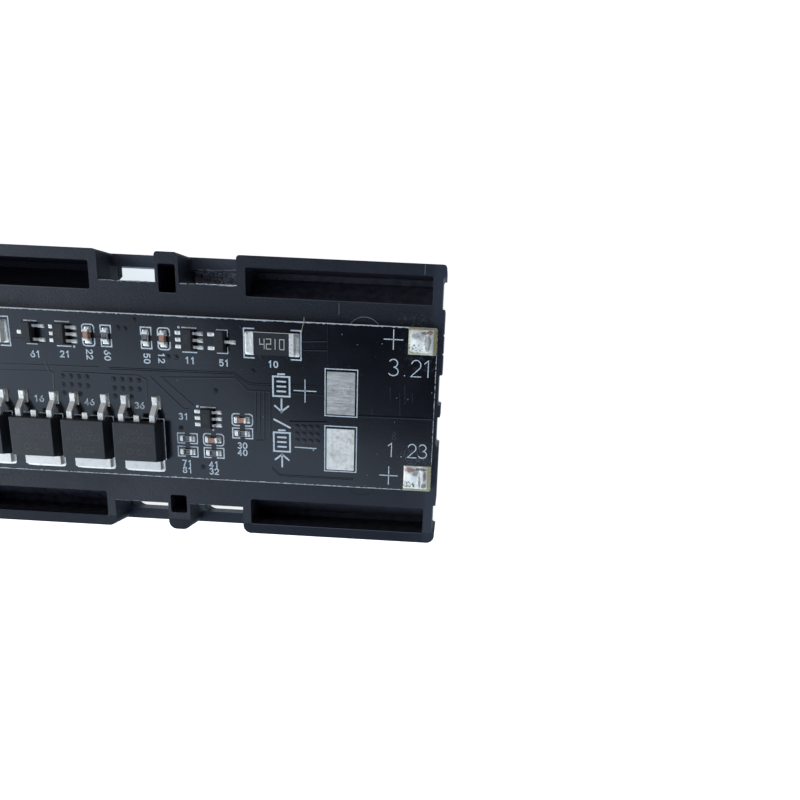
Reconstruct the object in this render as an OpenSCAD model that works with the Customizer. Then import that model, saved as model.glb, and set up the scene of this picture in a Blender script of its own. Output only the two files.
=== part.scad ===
// Two-cell battery management board on its moulded cell carrier.
// Millimetres. +X runs along the cells, +Z is up, and the origin is the
// middle of the carrier's footprint, on the plane its lower rim stands on.

/* [Cells and carrier shell] */
// Diameter of each round cell the carrier sits on
cell_d = 18.5; // [17.5:0.1:18.6]
// Play left round a cell in its cradle
cell_play = 0.1; // [0:0.02:0.15]
// Length of the carrier, end wall to end wall
carrier_l = 79.4; // [79:0.2:110]
// Width of the carrier over both side walls
carrier_w = 40.9; // [40.6:0.1:50]
// Height of the deck above the rim
carrier_h = 6.2; // [5.4:0.1:9]
// Thickness of the deck plate
deck_t = 1.6; // [1:0.1:2]
// Thickness of the side walls outside the pockets
side_wall_t = 1.6; // [1:0.1:2]
// Thickness of the two end walls
end_wall_t = 1.6; // [1.2:0.1:2.4]
// Thickness of the moulded skin that follows the cells
skin_t = 1; // [0.8:0.1:1.4]
// Thickness of the saddle ribs and of the rib between the cells
rib_t = 1.4; // [1:0.1:1.6]
// Number of saddle ribs across the carrier
rib_count = 4; // [2:2:6]
// Corner radius along the front wall
front_corner_r = 1.2; // [0.4:0.1:1.6]
// Corner radius along the back wall
back_corner_r = 0.5; // [0.2:0.1:1.2]

/* [Side pockets and windows] */
// Width of the deck between the front and back pockets
deck_core_w = 29.9; // [29:0.1:31]
// Length of each long pocket
pocket_l = 26.6; // [20:0.2:27]
// Wall left between a long pocket and the carrier's end
pocket_end_wall = 1.85; // [1.6:0.05:3]
// Corner radius of the pockets
pocket_r = 0.3; // [0.1:0.05:0.6]
// Length of each of the four side windows
window_l = 8.3; // [6:0.1:8.6]
// Width of the deck between the front and back windows
window_deck_w = 32.6; // [32:0.1:33]
// Height of the rail that closes a window at the rim
rail_h = 1.9; // [1:0.1:3]
// Width of that rail
rail_w = 1.75; // [1.2:0.05:2]
// Length of the small block between two windows
mid_block_l = 3.4; // [3:0.1:4]
// Wall on each side of the small block's pocket
mid_side_wall = 0.45; // [0.4:0.05:0.6]
// Outer wall of the small front block
mid_front_wall = 2.7; // [1.6:0.1:3]
// Radius of the gusset at the corner of a front window
gusset_r = 1.6; // [0.8:0.1:1.8]
// Thickness of the web that closes the right back window
web_t = 0.8; // [0.6:0.1:1.2]

/* [End walls] */
// Depth of the shallow recesses in the end walls
recess_depth = 0.45; // [0.2:0.05:0.6]
// Width of each recess
recess_w = 4.4; // [3:0.1:4.5]
// Corner radius of the recesses
recess_r = 0.3; // [0.1:0.05:0.4]
// Distance of the inner pair of recesses from the middle line
inner_recess_y = 3.05; // [2.6:0.05:4]
// Distance of the outer pair of recesses from the side wall's face
outer_recess_inset = 3.85; // [3.6:0.05:5]
// Width and depth of the two fine grooves
groove_w = 0.25; // [0.15:0.05:0.4]
// Distance of the first groove from the middle line
groove_y = 8.2; // [6.5:0.1:9]
// Distance between the grooves
groove_pitch = 2.8; // [2:0.1:3.2]

/* [Circuit board] */
// Length of the circuit board
board_l = 77.7; // [72:0.1:78.4]
// Width of the circuit board
board_w = 23.55; // [23:0.05:26]
// Thickness of the circuit board
board_t = 1.6; // [1:0.1:2]
// Corner radius of the circuit board
board_r = 0.3; // [0.1:0.1:1]

/* [Solder pads] */
// Length of a corner pad for a cell tab
corner_pad_l = 4; // [3:0.1:4.5]
// Width of a corner pad for a cell tab
corner_pad_w = 3.7; // [3:0.1:4.5]
// Bare margin between a corner pad and the board's edge
corner_pad_inset = 0.08; // [0.05:0.01:0.3]
// Height of the solder heaped on a corner pad
solder_h = 0.55; // [0.3:0.05:0.9]
// Length of an output pad
out_pad_l = 4.05; // [3:0.05:5]
// Width of an output pad
out_pad_w = 6.1; // [4:0.1:7]
// Distance between the middles of the two output pads
out_pad_pitch = 8.2; // [7.2:0.1:9]
// Distance from the board's right edge to the middle of the output pads
out_pad_inset = 13.5; // [10:0.1:15]
// Distance from the board's front edge to the middle of the front output pad
out_pad_front = 5.6; // [4.5:0.1:6]
// Thickness of the tinned metal on a pad
pad_t = 0.12; // [0.05:0.01:0.2]

/* [Power transistors] */
// Distance between neighbours in the row
fet_pitch = 7.55; // [7.2:0.05:7.8]
// Distance from the board's left edge to the first transistor
fet_first_inset = 12.2; // [10:0.1:13]
// Distance from the board's front edge to the middle of the bodies
fet_row_inset = 5.5; // [5:0.1:6]
// Width of the moulded body
fet_body_w = 6.5; // [6.2:0.05:6.8]
// Length of the moulded body
fet_body_l = 5.9; // [5.5:0.1:6.2]
// Height of the moulded body
fet_body_h = 2.3; // [2:0.05:2.6]
// How far the body's sides lean in from the lead plane to the top
fet_draft = 0.18; // [0.05:0.01:0.3]
// Width of the cooling tab
fet_tab_w = 5.35; // [5:0.05:5.6]
// Length of the tab that shows in front of the body
fet_tab_out = 1.45; // [1:0.05:1.6]
// Thickness of the tab and the leads
fet_metal_t = 0.5; // [0.4:0.02:0.6]
// Distance between the two outer leads
fet_lead_pitch = 4.57; // [4:0.01:5]
// Width of a lead
fet_lead_w = 0.8; // [0.6:0.05:1]
// Reach of the outer leads from the back of the body
fet_lead_reach = 3.5; // [3:0.1:4]
// Length of the flat foot of a lead
fet_foot_l = 1.35; // [1:0.05:1.6]
// Length of the middle lead, which is cut short
fet_stub_l = 0.85; // [0.5:0.05:1.2]

/* [Small packages] */
// Length of a six-lead chip body, and of a three-lead one
sot_body_l = 2.9; // [2.7:0.05:3.1]
// Width of a six-lead chip body
sot6_body_w = 1.6; // [1.5:0.05:1.8]
// Width of a three-lead body
sot3_body_w = 1.35; // [1.2:0.05:1.5]
// Height of the chip bodies' top above the board
sot_h = 1.15; // [1:0.05:1.3]
// Gap between a chip body and the board
sot_standoff = 0.1; // [0.05:0.01:0.15]
// Distance over the feet on both sides
sot_span = 2.8; // [2.6:0.05:3]
// Distance between neighbouring leads
sot_lead_pitch = 0.95; // [0.9:0.01:1]
// Width of a chip lead
sot_lead_w = 0.4; // [0.3:0.02:0.5]
// Thickness of a chip lead
sot_lead_t = 0.15; // [0.1:0.01:0.2]
// Length of a small resistor or capacitor
chip_l = 1.6; // [1.5:0.05:1.7]
// Width of a small resistor or capacitor
chip_w = 0.8; // [0.7:0.05:0.9]
// Height of a small resistor
res_h = 0.45; // [0.4:0.05:0.6]
// Height of a small capacitor
cap_h = 0.8; // [0.6:0.05:0.9]
// Length of the metal cap at each end of a small part
chip_cap_l = 0.32; // [0.2:0.02:0.4]
// Length of a current shunt
shunt_l = 6.35; // [6:0.05:6.5]
// Width of a current shunt
shunt_w = 3.2; // [3:0.05:3.4]
// Height of a current shunt
shunt_h = 0.6; // [0.5:0.05:0.8]
// Length of the metal cap at each end of a shunt
shunt_cap_l = 0.65; // [0.4:0.05:0.9]
// Thickness of the metal caps over the ceramic
cap_skin = 0.05; // [0.03:0.01:0.08]

/* [Part places] */
// Distance from the board's back edge to the row of chips
chip_row_inset = 3.3; // [3:0.1:4]
// Distance of the two protection channels' middle from the board's left edge
channel_mid = 33.35; // [33:0.05:34]
// Distance of the channel resistors from that middle
channel_res_x = 2.9; // [2.4:0.1:3]
// Distance of the channel capacitors from that middle
channel_cap_x = 5.45; // [5.2:0.05:5.8]
// Distance of the six-lead chips from that middle
channel_chip_x = 9.1; // [8.6:0.1:9.3]
// Distance of the small transistors from that middle
channel_fet_x = 13.75; // [13:0.05:14]
// Distance of the shunts from that middle
channel_shunt_x = 21; // [20.6:0.1:21.4]
// Distance of the sensing group's middle from the board's left edge
sense_mid = 45.4; // [45:0.1:46]
// Distance between the columns of the sensing group
sense_column = 3.9; // [3.6:0.1:4.2]
// Distance of the sensing group's last column from its middle
sense_last = 4.35; // [3.6:0.05:5]
// Distance from the board's front edge to the group's first row
sense_row_inset = 4.1; // [3.5:0.1:5]
// Distance between the rows of the sensing group
sense_row = 1.98; // [1.8:0.02:2.2]
// Distance from the board's front edge to the sensing chip
sense_chip_inset = 9.2; // [9:0.1:10]

/* [Hidden] */
$fn = 48;

// How far a cutting shape runs past the face that it opens
over = 1;
half_l = carrier_l / 2;
half_w = carrier_w / 2;

// Cells: their axes follow from the deck that rests on them
bay_r = cell_d / 2 + cell_play;
bay_z = carrier_h - deck_t - bay_r;
skin_r = bay_r + skin_t;

// Pockets, windows and ribs
pocket_in = deck_core_w / 2;
pocket_out = half_w - side_wall_t;
pocket_x1 = half_l - pocket_end_wall;
pocket_x0 = pocket_x1 - pocket_l;
well_in = pocket_in - skin_t;
window_in = window_deck_w / 2;
mid_half = mid_block_l / 2;
window_x1 = mid_half + window_l;
rail_in = half_w - rail_w;
bay_x1 = half_l - end_wall_t;
outer_recess_y = half_w - outer_recess_inset;

// Board planes and edges
top_z = carrier_h + board_t;
board_left = -board_l / 2;
board_right = board_l / 2;
board_back = board_w / 2;
board_front = -board_w / 2;

// Rows and groups of parts, from the board's edges
chip_row_y = board_back - chip_row_inset;
channel_x = board_left + channel_mid;
fet_row_y = board_front + fet_row_inset;
fet_x0 = board_left + fet_first_inset;
out_pad_x = board_right - out_pad_inset;
out_pad_y = board_front + out_pad_front;
sense_x = board_left + sense_mid;
sense_y = board_front + sense_row_inset;
sense_chip_y = board_front + sense_chip_inset;
sense_chip_shift = 0.65;
sense_last_lift = 1.6;

// Power transistor: lead plane, embedded lead end and bend
fet_lead_z = 0.95;
fet_embed = 0.6;
fet_lead_straight = 0.75;
fet_back = fet_body_l / 2;
fet_tab_in = 1.2;

// Small packages: height of the lead plane and run of the bend
sot_lead_z = 0.5;
sot_embed = 0.2;
sot_straight = 0.12;
sot_foot_l = 0.3;
sot_draft = 0.08;

// Bare metal: corner radius of a pad, and the two heaps of solder on a corner pad
pad_r = 0.12;
solder_heap_r = 1.15;
solder_heap_x = 0.75;
solder_heap_y = 0.3;

// Colours of the materials
black_plastic = [0.17, 0.18, 0.2];
black_mask = [0.1, 0.11, 0.13];
grey_epoxy = [0.17, 0.18, 0.19];
black_epoxy = [0.12, 0.12, 0.13];
black_glaze = [0.15, 0.15, 0.17];
brown_ceramic = [0.45, 0.36, 0.28];
tin = [0.78, 0.78, 0.76];

// ---- shared shapes ----

// A rectangle given by its low and high corners
module span2(lo, hi) {
  translate(lo) square(hi - lo);
}

// A box given by its low and high corners
module span3(lo, hi) {
  translate(lo) cube(hi - lo);
}

// A rectangle with rounded corners, its middle at the origin
module round_rect(l, w, r) {
  square([l - 2 * r, w], center = true);
  square([l, w - 2 * r], center = true);
  for (sx = [-1, 1], sy = [-1, 1])
    translate([sx * (l / 2 - r), sy * (w / 2 - r)]) circle(r);
}

// A block whose two corners on the +Y side are rounded
module round_back_rect(x0, x1, y0, y1, r) {
  span2([x0, y0], [x1, y1 - r]);
  span2([x0 + r, y0], [x1 - r, y1]);
  translate([x0 + r, y1 - r]) circle(r);
  translate([x1 - r, y1 - r]) circle(r);
}

// A moulded package: sides lean in above and below the parting plane z_mid
module moulded_block(l, w, z_low, z_mid, z_top, draft) {
  intersection() {
    rotate([90, 0, 0])
      linear_extrude(w + 2 * over, center = true)
        lean_profile(l / 2, z_low, z_mid, z_top, draft);
    rotate([90, 0, 90])
      linear_extrude(l + 2 * over, center = true)
        lean_profile(w / 2, z_low, z_mid, z_top, draft);
  }
}

// Six-sided section of a moulded package
module lean_profile(half, z_low, z_mid, z_top, draft) {
  low = half - draft / 2;
  high = half - draft;
  polygon([[-low, z_low], [low, z_low], [half, z_mid],
           [high, z_top], [-high, z_top], [-half, z_mid]]);
}

// A gull-wing lead that leaves the package along +Y: straight at height z0,
// down a slope, then flat on the board. The slope keeps the strip's thickness.
module gull_lead(y0, y_bend, y_foot, y_end, z0, t, w) {
  slope = atan2(z0, y_foot - y_bend);
  shift = t * tan(slope / 2);
  rotate([90, 0, 90])
    linear_extrude(w, center = true)
      polygon([[y0, z0], [y_bend, z0], [y_foot, 0], [y_end, 0],
               [y_end, t], [y_foot + shift, t],
               [y_bend + shift, z0 + t], [y0, z0 + t]]);
}

// Places children on the board's top face
module on_board(x, y, turn = 0) {
  translate([x, y, top_z]) rotate([0, 0, turn]) children();
}

// ---- carrier ----

// Outline below the windows: one closed rim with rounded corners
module rim_outline() {
  round_back_rect(-half_l, half_l, 0, half_w, back_corner_r);
  mirror([0, 1]) round_back_rect(-half_l, half_l, 0, half_w, front_corner_r);
}

// Half of the outline above the windows: the deck strip and three blocks
module blocks_outline(r) {
  span2([-half_l, 0], [half_l, window_in]);
  round_back_rect(-half_l, -window_x1, 0, half_w, r);
  round_back_rect(-mid_half, mid_half, 0, half_w, r);
  round_back_rect(window_x1, half_l, 0, half_w, r);
}

// The whole outside before it is hollowed
module carrier_blank() {
  linear_extrude(rail_h) rim_outline();
  translate([0, 0, rail_h])
    linear_extrude(carrier_h - rail_h) {
      blocks_outline(back_corner_r);
      mirror([0, 1]) blocks_outline(front_corner_r);
    }
}

// A round bar along X where a cell lies
module cell_bar(r, x0, x1, side) {
  translate([x0, side * bay_r, bay_z])
    rotate([0, 90, 0]) cylinder(h = x1 - x0, r = r);
}

// Hollow under the deck between the saddle ribs, on both sides of the spine
module deck_cores() {
  step = 2 * bay_x1 / (rib_count + 1);
  for (i = [0 : rib_count], side = [-1, 1]) {
    x0 = -bay_x1 + i * step + (i > 0 ? rib_t / 2 : 0);
    x1 = -bay_x1 + (i + 1) * step - (i < rib_count ? rib_t / 2 : 0);
    y_near = side * rib_t / 2;
    y_far = side * well_in;
    span3([x0, min(y_near, y_far), -over],
          [x1, max(y_near, y_far), carrier_h - deck_t]);
  }
}

// A pocket sunk from the deck down to the skin that follows the cell
module pocket(x0, x1, y1, side) {
  l = x1 - x0;
  w = y1 - pocket_in;
  difference() {
    translate([(x0 + x1) / 2, side * (pocket_in + w / 2), skin_t])
      linear_extrude(carrier_h) round_rect(l, w, pocket_r);
    cell_bar(skin_r, x0 - over, x1 + over, side);
  }
}

// The two long pockets and the small one along one side wall
module side_pockets(side, mid_wall) {
  pocket(pocket_x0, pocket_x1, pocket_out, side);
  pocket(-pocket_x1, -pocket_x0, pocket_out, side);
  mid_pocket = mid_half - mid_side_wall;
  pocket(-mid_pocket, mid_pocket, half_w - mid_wall, side);
}

// Slot between deck and rail, seen through a window
module window_slot(x0, x1, side, z0, gusset) {
  y0 = min(side * window_in, side * rail_in);
  y1 = max(side * window_in, side * rail_in);
  translate([0, 0, z0])
    linear_extrude(carrier_h)
      difference() {
        span2([x0, y0], [x1, y1]);
        if (gusset)
          difference() {
            span2([x0, y0], [x0 + gusset_r, y0 + gusset_r]);
            translate([x0 + gusset_r, y0 + gusset_r]) circle(gusset_r);
          }
      }
}

// All four slots: the front ones have a gusset, the right back one a web
module window_slots() {
  window_slot(-window_x1, -mid_half, -1, -over, true);
  window_slot(mid_half, window_x1, -1, -over, true);
  window_slot(-window_x1, -mid_half, 1, -over, false);
  window_slot(mid_half, window_x1, 1, web_t, false);
}

// Shallow recesses and fine grooves in one end wall
module end_details(end) {
  for (y = [inner_recess_y, outer_recess_y], side = [-1, 1])
    translate([end * half_l, side * y, -over])
      linear_extrude(carrier_h + 2 * over) round_rect(2 * recess_depth, recess_w, recess_r);
  for (y = [groove_y, groove_y + groove_pitch])
    translate([end * half_l, y, -over])
      linear_extrude(carrier_h + 2 * over)
        rotate(45) square(groove_w, center = true);
}

module carrier() {
  color(black_plastic)
    difference() {
      carrier_blank();
      for (side = [-1, 1]) cell_bar(bay_r, -bay_x1, bay_x1, side);
      deck_cores();
      side_pockets(1, side_wall_t);
      side_pockets(-1, mid_front_wall);
      window_slots();
      for (end = [-1, 1]) end_details(end);
    }
}

// ---- circuit board and its bare metal ----

module circuit_board() {
  color(black_mask)
    translate([0, 0, carrier_h])
      linear_extrude(board_t) round_rect(board_l, board_w, board_r);
}

module output_pad(row) {
  color(tin)
    on_board(out_pad_x, out_pad_y + row * out_pad_pitch)
      linear_extrude(pad_t) round_rect(out_pad_l, out_pad_w, pad_r);
}

// A heap of solder: the cap of a ball, with its flat side on the pad
module solder_heap(r, h) {
  ball_r = (r * r + h * h) / (2 * h);
  intersection() {
    translate([0, 0, h - ball_r]) sphere(ball_r);
    cylinder(h = h + over, r = r + over);
  }
}

// Corner pad with two heaps of solder run together
module cell_joint(end, side) {
  color(tin)
    on_board(end * (board_right - corner_pad_inset - corner_pad_l / 2),
             side * (board_back - corner_pad_inset - corner_pad_w / 2)) {
      linear_extrude(pad_t)
        round_rect(corner_pad_l, corner_pad_w, pad_r);
      for (s = [-1, 1])
        translate([s * solder_heap_x, s * solder_heap_y, 0])
          solder_heap(solder_heap_r, solder_h);
    }
}

// ---- power transistors ----

module fet_tab_shape() {
  span3([-fet_tab_w / 2, -fet_back - fet_tab_out, 0],
        [fet_tab_w / 2, fet_back - fet_tab_in, fet_metal_t]);
  span3([-fet_lead_w / 2, fet_back - fet_embed, fet_lead_z],
        [fet_lead_w / 2, fet_back + fet_stub_l, fet_lead_z + fet_metal_t]);
}

module fet_lead_shapes() {
  y_bend = fet_back + fet_lead_straight;
  y_end = fet_back + fet_lead_reach;
  for (s = [-1, 1])
    translate([s * fet_lead_pitch / 2, 0, 0])
      gull_lead(fet_back - fet_embed, y_bend, y_end - fet_foot_l, y_end,
                fet_lead_z, fet_metal_t, fet_lead_w);
}

module at_fet(n) {
  on_board(fet_x0 + (n - 1) * fet_pitch, fet_row_y) children();
}

module fet_body(n) {
  color(grey_epoxy)
    at_fet(n) difference() {
      moulded_block(fet_body_w, fet_body_l, 0, fet_lead_z, fet_body_h, fet_draft);
      fet_tab_shape();
      fet_lead_shapes();
    }
}

module fet_tab(n) {
  color(tin) at_fet(n) fet_tab_shape();
}

module fet_leads(n) {
  color(tin) at_fet(n) fet_lead_shapes();
}

// ---- small moulded packages ----

// Leads of a small package: a list of [side, row] places, side -1 is -X
module sot_leads_shape(places, body_w) {
  y_end = sot_span / 2;
  y_bend = body_w / 2 + sot_straight;
  for (p = places)
    translate([0, p[1] * sot_lead_pitch, 0])
      rotate([0, 0, -90 * p[0]])
        gull_lead(body_w / 2 - sot_embed, y_bend, y_end - sot_foot_l, y_end,
                  sot_lead_z, sot_lead_t, sot_lead_w);
}

six_leads = [for (s = [-1, 1], r = [-1, 0, 1]) [s, r]];
three_leads = [[-1, -1], [-1, 1], [1, 0]];

module sot_body(places, body_w) {
  color(black_epoxy)
    difference() {
      moulded_block(body_w, sot_body_l, sot_standoff,
                    sot_lead_z + sot_lead_t / 2, sot_h, sot_draft);
      sot_leads_shape(places, body_w);
    }
}

module sot_leads(places, body_w) {
  color(tin) sot_leads_shape(places, body_w);
}

// ---- resistors, capacitors and shunts ----

// Ceramic block; the metal caps stand cap_skin proud of it all round
module chip_core(l, w, h) {
  translate([0, 0, h / 2])
    cube([l - 2 * cap_skin, w - 2 * cap_skin, h - 2 * cap_skin], center = true);
}

module chip_caps(l, w, h, cap_l) {
  color(tin)
    difference() {
      for (s = [-1, 1])
        translate([s * (l - cap_l) / 2, 0, h / 2]) cube([cap_l, w, h], center = true);
      chip_core(l, w, h);
    }
}

// ---- where each small part sits ----

// Both protection channels are the same; the left one is turned half round
module in_channel(side, x) {
  on_board(channel_x + side * x, chip_row_y, side < 0 ? 180 : 0) children();
}

// The sensing group: two rows of small parts in three columns
module in_sense_group(column, row) {
  x = column < 0 ? -sense_column : column > 0 ? sense_last : 0;
  lift = column > 0 ? sense_last_lift : 0;
  on_board(sense_x + x, sense_y + (row + lift) * sense_row) children();
}

module protection_chip_body(side) {
  in_channel(side, channel_chip_x) sot_body(six_leads, sot6_body_w);
}

module protection_chip_leads(side) {
  in_channel(side, channel_chip_x) sot_leads(six_leads, sot6_body_w);
}

module at_sensing_chip() {
  on_board(sense_x - sense_chip_shift, sense_chip_y) children();
}

module sensing_chip_body() {
  at_sensing_chip() sot_body(six_leads, sot6_body_w);
}

module sensing_chip_leads() {
  at_sensing_chip() sot_leads(six_leads, sot6_body_w);
}

module small_transistor_body(side) {
  in_channel(side, channel_fet_x) sot_body(three_leads, sot3_body_w);
}

module small_transistor_leads(side) {
  in_channel(side, channel_fet_x) sot_leads(three_leads, sot3_body_w);
}

module shunt_body(side) {
  color(black_glaze)
    in_channel(side, channel_shunt_x) chip_core(shunt_l, shunt_w, shunt_h);
}

module shunt_caps(side) {
  in_channel(side, channel_shunt_x) chip_caps(shunt_l, shunt_w, shunt_h, shunt_cap_l);
}

// The small parts of a channel stand across the board, so they are turned
module channel_resistor_body(side) {
  color(black_glaze)
    in_channel(side, channel_res_x) rotate(90) chip_core(chip_l, chip_w, res_h);
}

module channel_resistor_caps(side) {
  in_channel(side, channel_res_x)
    rotate(90) chip_caps(chip_l, chip_w, res_h, chip_cap_l);
}

module channel_capacitor_body(side) {
  color(brown_ceramic)
    in_channel(side, channel_cap_x) rotate(90) chip_core(chip_l, chip_w, cap_h);
}

module channel_capacitor_caps(side) {
  in_channel(side, channel_cap_x)
    rotate(90) chip_caps(chip_l, chip_w, cap_h, chip_cap_l);
}

module sense_resistor_body(column, row) {
  color(black_glaze)
    in_sense_group(column, row) chip_core(chip_l, chip_w, res_h);
}

module sense_resistor_caps(column, row) {
  in_sense_group(column, row) chip_caps(chip_l, chip_w, res_h, chip_cap_l);
}

module sense_capacitor_body(column) {
  color(brown_ceramic)
    in_sense_group(column, 1) chip_core(chip_l, chip_w, cap_h);
}

module sense_capacitor_caps(column) {
  in_sense_group(column, 1) chip_caps(chip_l, chip_w, cap_h, chip_cap_l);
}

// ---- nodes ----

carrier();
circuit_board();
output_pad(1);  // output_pad_plus
output_pad(0);  // output_pad_minus
cell_joint(-1, 1);  // cell_joint_back_left
cell_joint(1, 1);  // cell_joint_back_right
cell_joint(-1, -1);  // cell_joint_front_left
cell_joint(1, -1);  // cell_joint_front_right
fet_body(1);  // power_transistor_1_body
fet_tab(1);  // power_transistor_1_tab
fet_leads(1);  // power_transistor_1_leads
fet_body(2);  // power_transistor_2_body
fet_tab(2);  // power_transistor_2_tab
fet_leads(2);  // power_transistor_2_leads
fet_body(3);  // power_transistor_3_body
fet_tab(3);  // power_transistor_3_tab
fet_leads(3);  // power_transistor_3_leads
fet_body(4);  // power_transistor_4_body
fet_tab(4);  // power_transistor_4_tab
fet_leads(4);  // power_transistor_4_leads
protection_chip_body(-1);  // protection_chip_left_body
protection_chip_leads(-1);  // protection_chip_left_leads
protection_chip_body(1);  // protection_chip_right_body
protection_chip_leads(1);  // protection_chip_right_leads
sensing_chip_body();
sensing_chip_leads();
small_transistor_body(-1);  // small_transistor_left_body
small_transistor_leads(-1);  // small_transistor_left_leads
small_transistor_body(1);  // small_transistor_right_body
small_transistor_leads(1);  // small_transistor_right_leads
shunt_body(-1);  // shunt_left_body
shunt_caps(-1);  // shunt_left_caps
shunt_body(1);  // shunt_right_body
shunt_caps(1);  // shunt_right_caps
channel_resistor_body(-1);  // channel_resistor_left_body
channel_resistor_caps(-1);  // channel_resistor_left_caps
channel_resistor_body(1);  // channel_resistor_right_body
channel_resistor_caps(1);  // channel_resistor_right_caps
channel_capacitor_body(-1);  // channel_capacitor_left_body
channel_capacitor_caps(-1);  // channel_capacitor_left_caps
channel_capacitor_body(1);  // channel_capacitor_right_body
channel_capacitor_caps(1);  // channel_capacitor_right_caps
sense_resistor_body(-1, 1);  // sense_resistor_1_body
sense_resistor_caps(-1, 1);  // sense_resistor_1_caps
sense_resistor_body(-1, 0);  // sense_resistor_2_body
sense_resistor_caps(-1, 0);  // sense_resistor_2_caps
sense_resistor_body(0, 0);  // sense_resistor_3_body
sense_resistor_caps(0, 0);  // sense_resistor_3_caps
sense_resistor_body(1, 0);  // sense_resistor_4_body
sense_resistor_caps(1, 0);  // sense_resistor_4_caps
sense_capacitor_body(0);  // sense_capacitor_1_body
sense_capacitor_caps(0);  // sense_capacitor_1_caps
sense_capacitor_body(1);  // sense_capacitor_2_body
sense_capacitor_caps(1);  // sense_capacitor_2_caps
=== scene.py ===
# %% [markdown]
# # A battery management board on its cell carrier
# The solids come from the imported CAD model, already at their real size and in
# their real place. This lesson gives them their finish and adds what is too fine
# for the solids: white print, solder, copper under the mask, mould marks and dust.
# Distances are in millimetres and become metres where a mesh or a place is set.

# %% Load the frame
import math
from types import SimpleNamespace

import bpy
import numpy as np
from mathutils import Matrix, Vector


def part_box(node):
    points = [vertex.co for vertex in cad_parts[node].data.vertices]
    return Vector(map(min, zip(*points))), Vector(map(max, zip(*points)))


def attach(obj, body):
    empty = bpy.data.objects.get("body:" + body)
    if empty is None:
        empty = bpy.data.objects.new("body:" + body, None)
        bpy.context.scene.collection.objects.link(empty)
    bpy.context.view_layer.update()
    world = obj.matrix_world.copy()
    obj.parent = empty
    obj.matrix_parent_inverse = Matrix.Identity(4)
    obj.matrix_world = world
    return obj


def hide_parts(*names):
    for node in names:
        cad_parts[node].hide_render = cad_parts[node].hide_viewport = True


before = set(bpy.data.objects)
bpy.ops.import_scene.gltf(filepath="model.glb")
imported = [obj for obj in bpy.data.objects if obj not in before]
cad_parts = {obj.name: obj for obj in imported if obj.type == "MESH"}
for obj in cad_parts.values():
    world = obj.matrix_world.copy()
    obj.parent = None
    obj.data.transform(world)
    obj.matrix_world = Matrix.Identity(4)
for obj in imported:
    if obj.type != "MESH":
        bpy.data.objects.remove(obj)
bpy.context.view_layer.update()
MM = 0.001
scene = bpy.context.scene
print("CAD nodes:", len(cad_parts))

# %% [markdown]
# ## The camera
# A close-up camera looks down on the right half of the board, a little from the
# back. It could be aimed at a target with a constraint, but a place and three
# turns say the same and depend on nothing else. It comes first, because every
# later choice is judged through it. It is wide and near, so the tall parts lean.

# %% Camera
CAMERA_PLACE = (41.05, 8.67, 86.18)
CAMERA_TURN = (-12.355, 1.752, 2.802)
LENS, SENSOR = 24.48, 36
SHIFT = (-0.0445, 0.0888)
NEAREST = 5


def add_camera():
    """A camera at CAMERA_PLACE, turned about X, Y and Z by CAMERA_TURN degrees."""
    data = bpy.data.cameras.new("camera")
    data.lens, data.sensor_width = LENS, SENSOR
    data.shift_x, data.shift_y = SHIFT
    data.clip_start = NEAREST * MM
    camera = bpy.data.objects.new("camera", data)
    scene.collection.objects.link(camera)
    camera.location = [c * MM for c in CAMERA_PLACE]
    camera.rotation_euler = [math.radians(a) for a in CAMERA_TURN]
    scene.camera = camera


add_camera()
print("camera at", CAMERA_PLACE, "mm")

# %% [markdown]
# ## Light
# The board is black and half glossy, so what it mirrors decides how it looks. A
# picture of a studio could be wrapped round it. Here the world is worked out from
# two plain colours, because those are easy to tune. It is bright to the left and
# in front, which puts a haze over the left half, and dim overhead and behind. A
# large lamp on the left gives the shadows their side.

# %% Node helpers
scene.view_settings.view_transform = "Standard"


def node(tree, kind, **values):
    """Adds a shader node and sets its sockets by name, or its properties."""
    made = tree.nodes.new("ShaderNode" + kind)
    for key, value in values.items():
        name = key.replace("_", " ")
        if hasattr(made, key) and key not in made.inputs:
            setattr(made, key, value)
        else:
            made.inputs[name].default_value = value
    return made


def link(tree, out, into):
    """Joins an output socket to an input socket."""
    tree.links.new(out, into)


print("node helpers ready")

# %% Lamps
def soft_lamp(name, place, size, glow, colour):
    """A rectangular lamp at a place in millimetres, facing the board's middle.

    `glow` is how bright its face looks, so its power is glow x pi x its area.
    """
    data = bpy.data.lights.new(name, "AREA")
    data.shape = "RECTANGLE"
    data.size, data.size_y = size[0] * MM, size[1] * MM
    data.energy = glow * math.pi * data.size * data.size_y
    data.color = colour
    lamp = bpy.data.objects.new(name, data)
    scene.collection.objects.link(lamp)
    lamp.location = [c * MM for c in place]
    lamp.rotation_euler = (-lamp.location).to_track_quat("-Z", "Y").to_euler()


soft_lamp("key_lamp", (-480, -60, 210), (600, 240), 3.0, (0.95, 0.98, 1.0))
soft_lamp("back_lamp", (20, 430, 260), (600, 200), 0.8, (1.0, 0.99, 0.96))
print("lamps:", [lamp.name for lamp in bpy.data.lights])

# %% The room
BRIGHT_SIDE = (-0.433, -0.886, -0.177)
LIGHT_EDGE = (-0.06, 0.12)
DIM, BRIGHT, WHITE = (0.042, 0.037, 0.055, 1), (0.97, 1.165, 1.46, 1), (1, 1, 1, 1)


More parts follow.
